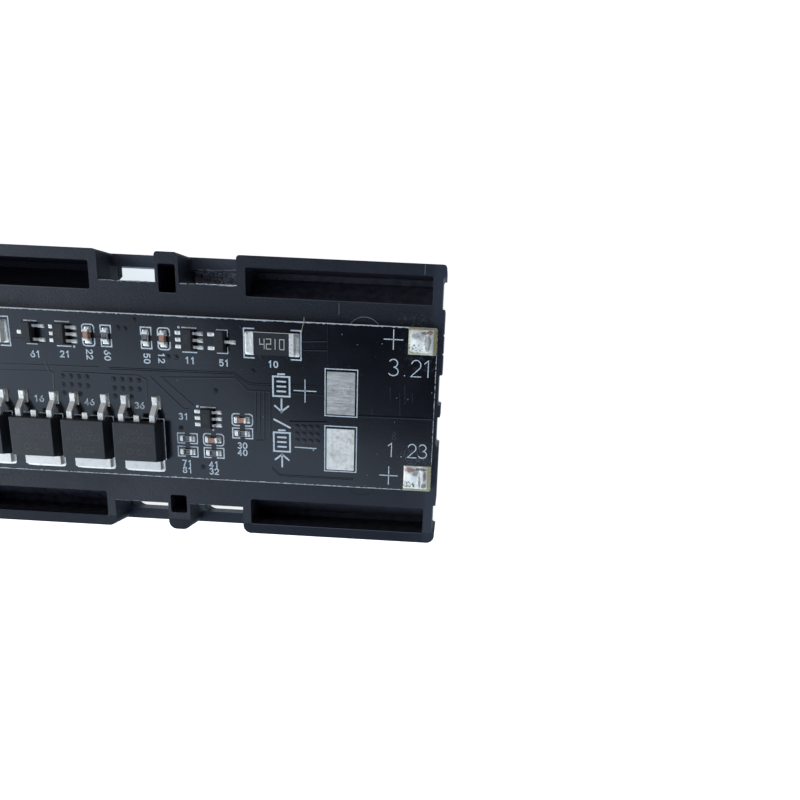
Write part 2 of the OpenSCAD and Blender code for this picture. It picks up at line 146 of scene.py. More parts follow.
def white_room():
    """The world: bright on one side of a tilted plane, dim on the other.

    The bright share rises with the cosine between the direction looked in and
    BRIGHT_SIDE. Rays from the camera see plain white instead.
    """
    world = bpy.data.worlds.new("studio")
    scene.world = world
    world.use_nodes = True
    tree = world.node_tree
    tree.nodes.clear()
    place = node(tree, "TexCoord")
    side = node(tree, "VectorMath", operation="DOT_PRODUCT")
    side.inputs[1].default_value = BRIGHT_SIDE
    link(tree, place.outputs["Generated"], side.inputs[0])
    share = node(tree, "MapRange", interpolation_type="SMOOTHSTEP",
                 From_Min=LIGHT_EDGE[0], From_Max=LIGHT_EDGE[1])
    link(tree, side.outputs["Value"], share.inputs["Value"])
    dim, bright, white = (node(tree, "Background", Color=colour, Strength=1.0)
                          for colour in (DIM, BRIGHT, WHITE))
    path = node(tree, "LightPath")
    room = node(tree, "MixShader")
    mix = node(tree, "MixShader")
    out = node(tree, "OutputWorld")
    link(tree, share.outputs["Result"], room.inputs["Fac"])
    link(tree, dim.outputs[0], room.inputs[1])
    link(tree, bright.outputs[0], room.inputs[2])
    link(tree, path.outputs["Is Camera Ray"], mix.inputs["Fac"])
    link(tree, room.outputs[0], mix.inputs[1])
    link(tree, white.outputs[0], mix.inputs[2])
    link(tree, mix.outputs[0], out.inputs["Surface"])


white_room()
print("the room is bright towards", BRIGHT_SIDE)

# %% [markdown]
# ## The floor
# A wide sheet of pale paper carries the shadow. More light would make it white but
# would wash out the black part too. So rays from the camera find it glowing almost
# white, and glossy rays find it dimmer and bluer. Under the back windows, where
# the carrier shades it, the white is a little bluer.

# %% Floor paper
GLOWS = (("Is Glossy Ray", (0.62, 0.76, 0.9, 1), 0.45), ("Is Camera Ray", WHITE, 0.88))
SHADED_WHITE = (0.86, 0.93, 1.0, 1)
SHADED_STRIP = ((0.0, 30.0), (16.5, 3.5))


def floor_paper():
    """Paper whose glow depends on who looks; the camera's is bluer in a strip.

    Each coordinate of SHADED_STRIP holds a middle and a reach: a point is in the
    strip where both coordinates are within reach of their middles.
    """
    mat = bpy.data.materials.new("floor_paper")
    mat.use_nodes = True
    tree = mat.node_tree
    tree.nodes.clear()
    paper = node(tree, "BsdfDiffuse", Color=(0.86, 0.86, 0.86, 1))
    path = node(tree, "LightPath")
    out = node(tree, "OutputMaterial")
    last = paper.outputs[0]
    for ray, colour, strength in GLOWS:
        glow = node(tree, "Emission", Color=colour, Strength=strength)
        both = node(tree, "AddShader")
        seen = node(tree, "MixShader")
        link(tree, paper.outputs[0], both.inputs[0])
        link(tree, glow.outputs[0], both.inputs[1])
        link(tree, path.outputs[ray], seen.inputs["Fac"])
        link(tree, last, seen.inputs[1])
        link(tree, both.outputs[0], seen.inputs[2])
        last = seen.outputs[0]
    place = node(tree, "TexCoord")
    axes = node(tree, "SeparateXYZ")
    strip = node(tree, "Math", operation="MULTIPLY")
    link(tree, place.outputs["Object"], axes.inputs[0])
    for axis, (at, reach) in enumerate(SHADED_STRIP):
        near = node(tree, "Math", operation="COMPARE")
        near.inputs[1].default_value, near.inputs[2].default_value = at * MM, reach * MM
        link(tree, axes.outputs[axis], near.inputs[0])
        link(tree, near.outputs[0], strip.inputs[axis])
    shade = node(tree, "MixRGB", Color1=WHITE, Color2=SHADED_WHITE)
    link(tree, strip.outputs[0], shade.inputs["Fac"])
    link(tree, shade.outputs[0], glow.inputs["Color"])
    link(tree, last, out.inputs["Surface"])
    return mat


paper_finish = floor_paper()
print("floor paper:", len(paper_finish.node_tree.nodes), "nodes")

# %% Floor
FLOOR_HALF, FLOOR_DROP = 3.0, 0.0002


def white_floor():
    """A square of paper just under the rim."""
    mesh = bpy.data.meshes.new("floor")
    corners = [(x * FLOOR_HALF, y * FLOOR_HALF, 0)
               for x, y in ((-1, -1), (1, -1), (1, 1), (-1, 1))]
    mesh.from_pydata(corners, [], [(0, 1, 2, 3)])
    mesh.materials.append(paper_finish)
    floor = bpy.data.objects.new("floor", mesh)
    scene.collection.objects.link(floor)
    floor.location.z = -FLOOR_DROP


white_floor()
print("floor:", 2 * FLOOR_HALF, "m across")

# %% [markdown]
# ## Finishes
# Real surfaces are never one colour or one gloss. Painted images could show that,
# but noise in the object's own coordinates needs no files and stays on the surface
# from any side. `Finish` holds one shader, and its methods add patches of colour,
# changes of gloss and a fine relief.

# %% Values on a surface


class Surface:
    """Values worked out from where a point lies: noise, coordinates and masks."""

    def __init__(self, tree):
        """Starts a material's node tree with the object's own coordinates."""
        self.tree = tree
        self.place = node(tree, "TexCoord").outputs["Object"]

    def noise(self, per_mm, detail=3.0, stretch=(1, 1, 1), rough=0.55):
        """Cloudy grey noise with `per_mm` lumps to the millimetre."""
        turn = node(self.tree, "Mapping")
        turn.inputs["Scale"].default_value = stretch
        link(self.tree, self.place, turn.inputs["Vector"])
        cloud = node(self.tree, "TexNoise", Scale=per_mm / MM, Detail=detail, Roughness=rough)
        link(self.tree, turn.outputs[0], cloud.inputs["Vector"])
        return cloud.outputs["Fac"]

    def ramp(self, value, low, high, to=(0.0, 1.0)):
        """Stretches a value so that low..high becomes to[0]..to[1], clamped."""
        made = node(self.tree, "MapRange", From_Min=low, From_Max=high, To_Min=to[0],
                    To_Max=to[1])
        link(self.tree, value, made.inputs["Value"])
        return made.outputs["Result"]

    def math(self, kind, a, b=0.0):
        """One operation on two values; each is a number or an output socket."""
        made = node(self.tree, "Math", operation=kind)
        for i, v in enumerate((a, b)):
            if isinstance(v, (int, float)):
                made.inputs[i].default_value = v
            else:
                link(self.tree, v, made.inputs[i])
        return made.outputs[0]

    def times(self, *values):
        """The product of values, so of masks: 1 only where all of them are 1."""
        total = values[0]
        for value in values[1:]:
            total = self.math("MULTIPLY", total, value)
        return total

    def above(self, value, limit):
        """1 where the value is over the limit, and 0 elsewhere."""
        return self.math("GREATER_THAN", value, limit)

    def below(self, value, limit):
        """1 where the value is under the limit, and 0 elsewhere."""
        return self.math("LESS_THAN", value, limit)

    def axis(self, name):
        """One coordinate of the point, in millimetres."""
        split = node(self.tree, "SeparateXYZ")
        link(self.tree, self.place, split.inputs[0])
        return self.math("MULTIPLY", split.outputs[name], 1 / MM)

    def patch(self, x, y, rx, ry, low=0.5, high=1.3, torn=1.0):
        """A soft oval mask round (|x|, y), its edge torn by noise.

        The squares of both distances over their radii are added, noise is added to
        that, and the sum fades the mask out from `low` to `high`.
        """
        out_x = self.math("ABSOLUTE", self.axis("X"))
        across = self.times(self.math("SUBTRACT", out_x, x), 1 / rx)
        along = self.times(self.math("SUBTRACT", self.axis("Y"), y), 1 / ry)
        away = self.math("ADD", self.times(across, across), self.times(along, along))
        tear = self.ramp(self.noise(2.6, detail=4), 0.3, 0.7, (-torn, torn))
        return self.ramp(self.math("ADD", away, tear), high, low)


print("noise and masks ready")

# %% Finish
FIRST_COLOUR, SECOND_COLOUR, MIXED_COLOUR = 6, 7, 2


class Finish(Surface):
    """A material with one Principled shader and helpers that feed its sockets."""

    def __init__(self, name, colour, roughness, metallic=0.0, **more):
        """Makes the base; `more` sets further sockets by name."""
        self.mat = bpy.data.materials.new(name)
        self.mat.use_nodes = True
        super().__init__(self.mat.node_tree)
        self.shader = self.tree.nodes["Principled BSDF"]
        self.colour = (*colour, 1)
        self.relief = None
        self.set("Base Color", self.colour)
        self.set("Roughness", roughness)
        self.set("Metallic", metallic)
        for key, value in more.items():
            self.set(key.replace("_", " "), value)

    def set(self, socket, value):
        """Sets one socket of the shader to a constant."""
        self.shader.inputs[socket].default_value = value

    def tint(self, mask, colour):
        """Mixes a second colour over the base where the mask is 1."""
        mix = node(self.tree, "Mix", data_type="RGBA")
        mix.inputs[SECOND_COLOUR].default_value = (*colour, 1)
        base = self.shader.inputs["Base Color"]
        if base.is_linked:
            link(self.tree, base.links[0].from_socket, mix.inputs[FIRST_COLOUR])
        else:
            mix.inputs[FIRST_COLOUR].default_value = self.colour
        link(self.tree, mask, mix.inputs[0])
        link(self.tree, mix.outputs[MIXED_COLOUR], base)

    def vary(self, socket, value, low, high, to):
        """Drives a socket from a value: low..high of the value becomes `to`."""
        link(self.tree, self.ramp(value, low, high, to), self.shader.inputs[socket])

    def bump(self, height, depth_mm, strength=1.0):
        """Adds a relief `depth_mm` deep on top of the reliefs that are there."""
        made = node(self.tree, "Bump", Strength=strength, Distance=depth_mm * MM)
        link(self.tree, height, made.inputs["Height"])
        if self.relief:
            link(self.tree, self.relief, made.inputs["Normal"])
        self.relief = made.outputs[0]
        link(self.tree, self.relief, self.shader.inputs["Normal"])


def dress(names, finish):
    """Gives a finish to each CAD node in a list."""
    for name in names:
        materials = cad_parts[name].data.materials
        materials.clear()
        materials.append(finish.mat)


print("finishes ready")

# %% [markdown]
# ## Moulded black plastic
# The carrier is glass-filled nylon from a spark-eroded mould: dark blue-grey, with
# a fine grain, cloudy where the mould was oily, dull in its pockets, pale where the
# closed window is torn. Its colour also holds painted light and shade: painted shade
# in the pockets, painted light in some pockets, on the rails, on their inner faces,
# at the ends and on the torn window, and painted reflections of the floor on two
# window walls. Each place could be a piece of its own, but the real one is a single
# moulding. So it has one finish, and masks find the places.

# %% Places on the carrier
RAIL_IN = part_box("carrier")[1][1] / MM - 1.75
POCKETS_FROM, BLOCK_HALF = 11.1, 1.4
POCKET_IN, POCKET_OUT = 14.8, 18.95
POCKET_DEEP, RAIL_LOW, WEB_LOW = (6.1, 5.2), (2.6, 2.1), (1.1, 0.9)


def carrier_places(f):
    """Coordinates and masks by name; a mask is a product of limits on x, y and z.

    `out_x` and `out_y` grow from the middle to both sides.
    """
    x, y, z = (f.axis(name) for name in "XYZ")
    out_x, out_y = f.math("ABSOLUTE", x), f.math("ABSOLUTE", y)
    blocks = f.math("MAXIMUM", f.above(out_x, POCKETS_FROM), f.below(out_x, BLOCK_HALF))
    windows = f.math("SUBTRACT", 1.0, blocks)
    row = f.times(f.above(out_y, POCKET_IN), f.below(out_y, POCKET_OUT))
    return SimpleNamespace(
        x=x, y=y, z=z, out_x=out_x, out_y=out_y, windows=windows,
        left=f.ramp(x, 0.1, -0.1), right=f.ramp(x, -0.1, 0.1), front=f.ramp(y, 0.1, -0.1),
        pocket=f.times(blocks, row, f.ramp(z, *POCKET_DEEP)),
        rail=f.times(f.above(out_y, 18.5), f.ramp(z, *RAIL_LOW), windows),
        slot=f.times(f.below(out_y, RAIL_IN - 0.08), windows))


print("the rails' inner faces are", round(RAIL_IN, 2), "mm from the middle")

# %% Colours of the carrier


def tint_carrier(f, at):
    """Scuffs the corners; paints light on the rails, the ends and the pale torn window."""
    # Painted light: the rails are made lighter, less so at the front.
    f.tint(f.times(at.rail, f.ramp(at.y, -0.1, 0.1, (0.3, 1))), (0.062, 0.07, 0.092))
    scuffs = f.times(f.patch(36.0, 12.6, 3.0, 0.9), f.ramp(f.noise(3), 0.5, 0.62))
    f.tint(scuffs, (0.05, 0.057, 0.068))
    # The torn web is pale torn plastic, made paler still as painted light where it lies in
    # shade.
    web = f.times(f.ramp(at.z, *WEB_LOW), f.ramp(at.y, 16.2, 16.4), at.slot)
    torn = f.times(web, f.ramp(f.noise(3.0, detail=6), 0.34, 0.56, (0.2, 1)))
    f.tint(torn, (0.6, 0.64, 0.7))
    f.bump(torn, 0.3, 0.8)
    # Painted light: both end walls are made paler.
    f.tint(f.ramp(at.out_x, 37.6, 38.4), (0.021, 0.027, 0.042))


def tint_pockets(f, at):
    """Paints shade into the pockets, light into some, and the floor's reflection on two walls.
    """
    # Painted shade: every pocket is set to one flat dark tone.
    f.tint(at.pocket, (0.01, 0.01, 0.015))
    # Painted light, mottled by noise: the right pockets and the front pockets are made lighter.
    right_pocket_light = f.times(at.pocket, f.ramp(at.out_y, 18.8, 18.7, (0.25, 1)), at.right)
    front_pocket_light = f.times(at.pocket, at.front)
    for place, least, colour in ((right_pocket_light, 0.4, (0.05, 0.05, 0.064)),
                                 (front_pocket_light, 0.3, (0.042, 0.042, 0.056))):
        light_mottle = f.ramp(f.noise(0.8, detail=4), 0.35, 0.65, (least, 1))
        f.tint(f.times(place, light_mottle), colour)
    # Painted reflections of the white floor on two window walls, one on each side.
    for at_x, at_y, half, colour in ((9.8, 17.4, at.left, (0.24, 0.28, 0.3)),
                                     (1.9, -17.0, at.right, (0.24, 0.3, 0.29))):
        wall = f.patch(at_x, at_y, 1.1, 1.8, torn=0.5)
        f.tint(f.times(wall, at.slot, f.ramp(at.z, 3.4, 1.2), half), colour)


print("carrier colours ready")

# %% Gloss of the carrier


def gloss_carrier(f, at, texture):
    """Polishes and paints a sheen on the rails' inner faces; elsewhere gloss is lost or gained.
    """
    inner = f.times(f.above(at.out_y, RAIL_IN - 0.07), f.below(at.out_y, RAIL_IN + 0.07),
                    f.below(at.z, 1.8), at.windows)
    rough = f.ramp(texture, 0.7, 1.3, (0.38, 0.6))
    f.vary("Roughness", f.math("SUBTRACT", rough, f.times(inner, 0.3)), 0, 1, (0, 1))
    # Painted sheen: the rails' inner faces are tinted pale grey.
    f.tint(f.times(inner, 0.6), (0.3, 0.34, 0.38))
    outer = f.ramp(at.y, -18.7, -18.9, (0.0, 0.22))
    dull = f.times(at.pocket, f.math("ADD", f.times(at.left, 0.2), 0.2))
    worn = f.times(f.ramp(at.y, -11.5, -12.5), f.ramp(at.x, -5, -20, (0, 0.16)),
                   f.ramp(at.y, -18.9, -18.7, (0.5, 1)))
    end = f.ramp(at.x, 34, 38, (0, 0.1))
    loss = f.math("ADD", f.math("ADD", dull, outer), f.math("SUBTRACT", worn, end))
    f.vary("Specular IOR Level", loss, -1, 1, (1.43, -0.57))


print("carrier gloss ready")

# %% Carrier plastic


def carrier_plastic():
    """Grained and cloudy plastic, with the colour and the gloss of each place."""
    f = Finish("moulded_black_plastic", (0.0088, 0.0115, 0.0195), 0.46)
    grain, cloud = f.noise(4.5, detail=3), f.noise(0.12, detail=4)
    f.tint(f.ramp(f.noise(1.6, detail=5), 0.6, 0.8, (0, 0.5)), (0.024, 0.028, 0.038))
    f.bump(grain, 0.07, 0.85)
    f.bump(cloud, 0.25, 0.3)
    f.bump(f.noise(0.9, detail=3), 0.06, 0.35)
    at = carrier_places(f)
    tint_carrier(f, at)
    tint_pockets(f, at)
    gloss_carrier(f, at, f.math("ADD", grain, cloud))
    return f


plastic = carrier_plastic()
dress(["carrier"], plastic)
print("carrier finish:", len(plastic.tree.nodes), "nodes")

# %% [markdown]
# ## Softened edges
# No moulded or stamped edge is knife sharp: it catches a thin line of light. The
# solids could carry the rounding, but it would cost them many faces. So a copy of
# a node is welded, given a narrow Bevel, and stands in for the node.

# %% Softened copies
SHARP_ANGLE, WELD_REACH, ROUND_STEPS = math.radians(40), 1e-6, 2


def softened(name, width, finish):
    """A copy of a node whose sharp edges are rounded; it stands for the node."""
    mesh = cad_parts[name].data.copy()
    copy = bpy.data.objects.new("softened_" + name, mesh)
    scene.collection.objects.link(copy)
    weld = copy.modifiers.new("weld", "WELD")
    weld.merge_threshold = WELD_REACH
    bevel = copy.modifiers.new("bevel", "BEVEL")
    bevel.width, bevel.segments = width * MM, ROUND_STEPS
    bevel.limit_method, bevel.angle_limit = "ANGLE", SHARP_ANGLE
    bevel.harden_normals = True
    graph = bpy.context.evaluated_depsgraph_get()
    soft = bpy.data.meshes.new_from_object(copy.evaluated_get(graph))
    copy.modifiers.clear()
    copy.data = soft
    soft.materials.clear()
    soft.materials.append(finish.mat)
    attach(copy, "root")
    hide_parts(name)
    print("softened", name, len(mesh.polygons), "->", len(soft.polygons), "faces")


softened("carrier", 0.13, plastic)

# %% [markdown]
# ## Solder mask and the bare edge
# The board is fibreglass under a black film of solder mask. The film stops a hair
# before the cut edge, so a pale ragged line of bare fibreglass runs round the
# board. The line could be a thin frame of its own, but it is only a change of
# colour, so the finish measures how far a point is from the edge and tints it.

# %% Circuit board
board_low, board_high = (np.array(c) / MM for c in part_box("circuit_board"))
TOP = board_high[2]
BARE_EDGE = {"back": 0.17, "front": 0.11, "end": 0.07}


def board_finish():
    """Glossy black film: bare at the edges, hazy, scuffed and specked in places."""
    f = Finish("black_solder_mask", (0.0026, 0.0035, 0.0066), 0.22, Specular_IOR_Level=0.58)
    x, y, z = (f.axis(name) for name in "XYZ")
    out_x, out_y = f.math("ABSOLUTE", x), f.math("ABSOLUTE", y)
    half = (board_high - board_low) / 2
    end = f.math("SUBTRACT", out_x, half[0] - BARE_EDGE["end"])
    back = f.math("SUBTRACT", y, half[1] - BARE_EDGE["back"])
    front = f.math("SUBTRACT", f.times(y, -1.0), half[1] - BARE_EDGE["front"])
    edge = f.math("MAXIMUM", end, f.math("MAXIMUM", back, front))
    ragged_edge = f.math("ADD", edge, f.ramp(f.noise(2.6, detail=4), 0.3, 0.7, (-0.09, 0.06)))
    f.tint(f.ramp(ragged_edge, -0.01, 0.01), (0.6, 0.62, 0.6))
    f.tint(f.ramp(z, TOP - 0.02, TOP - 0.05), (0.15, 0.145, 0.11))

    f.vary("Roughness", f.noise(0.15, detail=3), 0.3, 0.7, (0.17, 0.25))
    hazy, clear = (f.times(f.patch(*spot, low=0.2, high=1.3, torn=0.2), f.ramp(x, -0.1, 0.1))
                   for spot in ((3.0, 8.5, 7.0, 5.0), (26.0, 2.5, 14.0, 7.5)))
    f.vary("Specular IOR Level", f.math("SUBTRACT", hazy, clear), -1, 1, (0.38, 0.78))
    corner = f.times(f.ramp(out_x, 33.2, 36.5), f.ramp(out_y, 4.2, 8.2))
    haze = f.times(corner, f.ramp(f.noise(1.4, detail=6), 0.5, 0.68), 0.5)
    f.tint(haze, (0.1, 0.11, 0.12))
    specks = f.times(f.patch(36.6, -6.6, 2.4, 1.7), f.ramp(f.noise(4.5), 0.56, 0.64))
    f.tint(specks, (0.14, 0.16, 0.18))
    f.bump(f.noise(2.2, detail=2), 0.012, 0.4)
    return f


mask = board_finish()
dress(["circuit_board"], mask)
print("board top at", TOP, "mm")

# %% [markdown]
# ## Tinned metal
# Leads, tabs and pads are copper plated with tin. Polished metal would mirror the
# room too clearly, so the finish is only partly metallic, uneven in gloss and
# stained. The output pads are scraped level, which leaves streaks: noise that is
# stretched along one side.

# %% Tinned metal


def tinned(name, colour, rough, metallic=0.8, lumps=0.05, stained=0.55):
    """Plated tin: `lumps` is its relief in millimetres, `stained` its browned share."""
    f = Finish(name, colour, rough, metallic=metallic)
    f.vary("Roughness", f.noise(1.5, detail=4), 0.3, 0.7, (rough - 0.08, rough + 0.14))
    f.bump(f.noise(2.0, detail=3), lumps, 0.7)
    stain = f.ramp(f.noise(1.1, detail=4), 0.55, 0.72, (0, stained))
    f.tint(stain, [c * k for c, k in zip(colour, (0.55, 0.48, 0.36))])
    return f


def scraped(name, colour, per_mm, stretch, share):
    """A flat tinned pad, levelled by scraping: streaks that are low and darker."""
    f = tinned(name, colour, 0.47, 0.6, 0.03)
    for scale, depth in ((per_mm, 0.1), (per_mm * 0.4, 0.03)):
        streaks = f.noise(scale, detail=5, stretch=stretch, rough=0.72)
        f.bump(streaks, depth, 0.9)
        f.tint(f.ramp(streaks, 0.5, 0.7, (0, share)), [c * 0.5 for c in colour])
        f.tint(f.ramp(streaks, 0.46, 0.3, (0, share)), [min(1, c * 1.3) for c in colour])
    return f


lead_tin = tinned("tin_plate", (0.93, 0.91, 0.83), 0.34, 0.4, 0.14, 0.3)
tab_tin = tinned("tinned_tab", (0.69, 0.66, 0.6), 0.42, lumps=0.03, stained=0.25)
dull_pad = scraped("dull_tin_pad", (0.55, 0.54, 0.5), 2.2, (0.25, 1.6, 1), 0.8)
bright_pad = scraped("bright_tin_pad", (0.9, 0.87, 0.77), 1.8, (1, 0.9, 1), 0.5)
solder = tinned("flowed_solder", (0.85, 0.83, 0.75), 0.3, 0.75)
print("tin finishes ready")

# %% [markdown]
# ## Hand-laid solder
# The corner joints were soldered by hand. They are bright, with burnt flux and a
# little bare copper, painted shade in their hollows and painted grey reflections
# on their lumps. These could be painted on, but each is a soft oval whose place is
# a share of the pad, so they stay if the pad changes its size.

# %% Hand-laid solder
SPOT_STRENGTH = 0.78
JOINT_STAINS_AND_SHADE = (
    # Back pad: a painted grey reflection on the hump, painted shade in the hollow, bare copper.
    (1, 0.24, 0.68, 0.15, 0.12, (0.42, 0.5, 0.49)),
    (1, 0.58, 0.82, 0.14, 0.07, (0.03, 0.03, 0.034)),
    (1, 0.76, 0.84, 0.1, 0.08, (0.24, 0.06, 0.08)),
    # Painted shade down the ridge with a painted highlight in it, then yellow flux at two edges.
    (1, 0.68, 0.45, 0.12, 0.3, (0.12, 0.13, 0.1)),
    (1, 0.68, 0.47, 0.06, 0.2, (0.6, 0.6, 0.55)),
    (1, 0.03, 0.5, 0.04, 0.7, (0.42, 0.38, 0.2)),
    (1, 0.3, 0.05, 0.6, 0.05, (0.4, 0.38, 0.22)),
    # Front pad: bare copper, a painted grey reflection, painted shade along the top edge.
    (-1, 0.22, 0.84, 0.2, 0.1, (0.34, 0.11, 0.09)),
    (-1, 0.42, 0.68, 0.1, 0.08, (0.4, 0.46, 0.47)),
    (-1, 0.64, 0.88, 0.22, 0.06, (0.018, 0.018, 0.022)),
    # Dark, brown and olive ovals lower down.
    (-1, 0.6, 0.4, 0.05, 0.32, (0.05, 0.04, 0.04)),
    (-1, 0.78, 0.6, 0.06, 0.2, (0.26, 0.18, 0.14)),
    (-1, 0.76, 0.2, 0.1, 0.12, (0.14, 0.12, 0.09)),
)


def pitted_solder():
    """Solder with pits, stains and painted shade; JOINT_STAINS_AND_SHADE: side, place, radii,
    colour.
    """
    f = tinned("hand_solder", (1.0, 0.98, 0.87), 0.3, 0.1, 0.1, 0.15)
    low, high = (np.array(c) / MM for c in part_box("cell_joint_back_right"))
    size = high - low

    def spot_at(side, u, v, ru, rv):
        """An oval at shares u, v of the back pad (side 1) or the front one (-1)."""
        y = low[1] + size[1] * v if side > 0 else size[1] * v - high[1]
        return f.patch(low[0] + size[0] * u, y, ru * size[0], rv * size[1], torn=0.45)

    # Each oval tints the solder: stains, flux and bare copper, or painted shade and reflection.
    for *spot_shape, colour in JOINT_STAINS_AND_SHADE:
        f.tint(f.times(spot_at(*spot_shape), SPOT_STRENGTH), colour)
    pits = f.ramp(f.noise(3.4, detail=3), 0.54, 0.6)
    for side, v in ((1, 0.26), (-1, 0.2)):
        f.tint(f.times(spot_at(side, 0.26, v, 0.26, 0.18), pits), (0.03, 0.028, 0.016))
    f.bump(pits, 0.05, 0.5)
    return f


hand_solder = pitted_solder()
nodes = list(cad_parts)
dress([n for n in nodes if n.endswith(("_leads", "_caps"))], lead_tin)
dress([n for n in nodes if n.endswith("_tab")], tab_tin)
dress(["output_pad_plus"], dull_pad)
dress(["output_pad_minus"], bright_pad)
dress([n for n in nodes if n.startswith("cell_joint")], solder)
print("metals dressed")

# %% [markdown]
# ## Package epoxies and ceramics
# The power transistors are moulded in a coarser, slightly shinier epoxy than the
# small chips. Resistors are pale ceramic under a black glaze, capacitors brown ceramic.
# One function makes them all, because they differ only in colour, grain and gloss.
# The glaze covers the top alone, so it is found by which way a face looks.

# %% Packages


def epoxy(name, colour, rough, grain, shine=0.5):
    """A moulded or fired body: flecks of twice its colour and a grain in mm."""
    f = Finish(name, colour, rough, Specular_IOR_Level=shine)
    f.tint(f.ramp(f.noise(5, detail=3), 0.5, 0.75, (0, 0.6)), [c * 2 for c in colour])
    f.bump(f.noise(7, detail=2), grain, 0.6)
    return f


def glazed(name, colour, shine=0.4):
    """Black glaze on the top face; the sides are pale ceramic."""
    f = epoxy(name, colour, 0.45, 0.008, shine)
    split = node(f.tree, "SeparateXYZ")
    link(f.tree, node(f.tree, "NewGeometry").outputs["Normal"], split.inputs[0])
    f.tint(f.below(split.outputs["Z"], 0.5), (0.45, 0.44, 0.43))
    return f


fet_epoxy = epoxy("grey_epoxy", (0.0145, 0.0165, 0.0185), 0.5, 0.03, 0.44)
chip_epoxy = epoxy("black_epoxy", (0.016, 0.017, 0.018), 0.6, 0.01, 0.42)
black_glaze = glazed("black_glaze", (0.016, 0.017, 0.021))
small_glaze = glazed("small_black_glaze", (0.006, 0.006, 0.008), 0.2)
brown_ceramic = epoxy("brown_ceramic", (0.42, 0.22, 0.145), 0.5, 0.01)


def bodies(*starts):
    """The names of the body nodes of some kinds of part."""
    return [n for n in nodes if n.startswith(starts) and n.endswith("_body")]


dress(bodies("power_transistor"), fet_epoxy)
dress(bodies("protection_chip", "sensing_chip", "small_transistor"), chip_epoxy)
dress(bodies("shunt"), black_glaze)
dress(bodies("channel_resistor", "sense_resistor"), small_glaze)
dress(bodies("channel_capacitor", "sense_capacitor"), brown_ceramic)
print("packages dressed")

# %% Softened packages
small_metal = [n for n in nodes if n.endswith(("_leads", "_caps")) and "power" not in n]
for finish, width, names in (
        (fet_epoxy, 0.1, bodies("power_transistor")),
        (lead_tin, 0.09, [n for n in nodes if "power" in n and n.endswith("_leads")]),
        (tab_tin, 0.06, [n for n in nodes if n.endswith("_tab")]),
        (chip_epoxy, 0.06, bodies("protection_chip", "sensing_chip", "small_transistor")),
        (brown_ceramic, 0.05, bodies("channel_capacitor", "sense_capacitor")),
        (lead_tin, 0.05, small_metal)):
    for name in names:
        softened(name, width, finish)

# %% [markdown]
# ## Thin things printed and plated on the board
# All fine detail is drawn with two shapes. A `stroke` is a band carried along a
# path, with round ends: white print, scratches, copper edges. A `dome` is a low
# cushion on a rounded rectangle: a blob of solder, a via, a print dot. Text objects
# and curves could draw some of it. Points worked out as whole arrays draw all of it
# in one way, as closed thin shapes with few faces.

# %% Pieces


class Piece:
    """Collects grids of points (millimetres) and turns them into one object."""

    def __init__(self, name):
        """An empty piece; grids are added, then it is built."""
        self.name, self.points, self.faces, self.count = name, [], [], 0

    def grid(self, p, wrap_u=False, wrap_v=True, cap=True):
        """Adds a (rows, columns, 3) grid of points as quads, closed by end faces."""
        rows, cols = p.shape[:2]
        i, j = np.meshgrid(np.arange(rows if wrap_u else rows - 1),
                           np.arange(cols if wrap_v else cols - 1), indexing="ij")
        i, j = i.ravel(), j.ravel()
        a, b = (i + 1) % rows, (j + 1) % cols
        quads = np.column_stack([i * cols + j, i * cols + b, a * cols + b, a * cols + j])
        self.faces += (quads + self.count).tolist()
        if cap and not wrap_u:
            ring = self.count + np.arange(cols)
            self.faces += [ring[::-1].tolist(), (ring + (rows - 1) * cols).tolist()]
        self.points.append(p.reshape(-1, 3))
        self.count += rows * cols

    def build(self, finish, smooth=True, replaced=()):
        """Makes the object, rides it on the root and hides the nodes it stands in for."""
        mesh = bpy.data.meshes.new(self.name)
        points = np.concatenate(self.points) * MM
        mesh.from_pydata(points.tolist(), [], self.faces)
        mesh.polygons.foreach_set("use_smooth", [smooth] * len(mesh.polygons))
        mesh.materials.append(finish.mat)
        obj = bpy.data.objects.new(self.name, mesh)
        scene.collection.objects.link(obj)
        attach(obj, "root")
        if replaced:
            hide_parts(*replaced)
        print(self.name, len(self.points), "shapes,", len(mesh.polygons), "faces")


print("piece collector ready")

# %% Strokes
ROUND_END = np.radians([78, 50, 24])


def stroke(path, width, low, high, lean=0.0, closed=False):
    """Sections of a band along a path: each is a four-point trapezium.

    At a bend the half width grows by one over the cosine of half the turn, so
    the band keeps its width; at an open end it shrinks along a quarter circle.
    """
    path = np.asarray(path, float)
    if closed:
        before, after = np.roll(path, 1, 0), np.roll(path, -1, 0)
    else:
        before = np.vstack([2 * path[0] - path[1], path[:-1]])
        after = np.vstack([path[1:], 2 * path[-1] - path[-2]])
    into = (path - before) / np.linalg.norm(path - before, axis=1)[:, None]
    out = (after - path) / np.linalg.norm(after - path, axis=1)[:, None]
    along = into + out
    along /= np.linalg.norm(along, axis=1)[:, None]
    half = width / 2 / np.clip((along * out).sum(1), 0.5, 1)
    if not closed:
        reach = np.sin(ROUND_END)[:, None] * width / 2
        first, last = path[0] - along[0] * reach, path[-1] + along[-1] * reach[::-1]
        path = np.vstack([first, path, last])
        along = np.vstack([along[[0] * 3], along, along[[-1] * 3]])
        half = np.concatenate([np.cos(ROUND_END) * width / 2, half,
                               np.cos(ROUND_END[::-1]) * width / 2])
    side = np.column_stack([-along[:, 1], along[:, 0]])
    spots = [(-1, low), (1, low), (1 - lean, high), (lean - 1, high)]
    return np.stack([np.column_stack([path + side * (half * k)[:, None],
                                      np.full(len(path), z)]) for k, z in spots], 1)


def bands(piece, paths, width, level, lean=0.0):
    """Adds a stroke along each path, all of one width, between two levels."""
    for path in paths:
        piece.grid(stroke(path, width, *level, lean))


print("a short stroke is a grid of", stroke([(0, 0), (1, 0)], 0.2, 0, 0.1).shape)

# %% Domes
SKIRT = 0.02


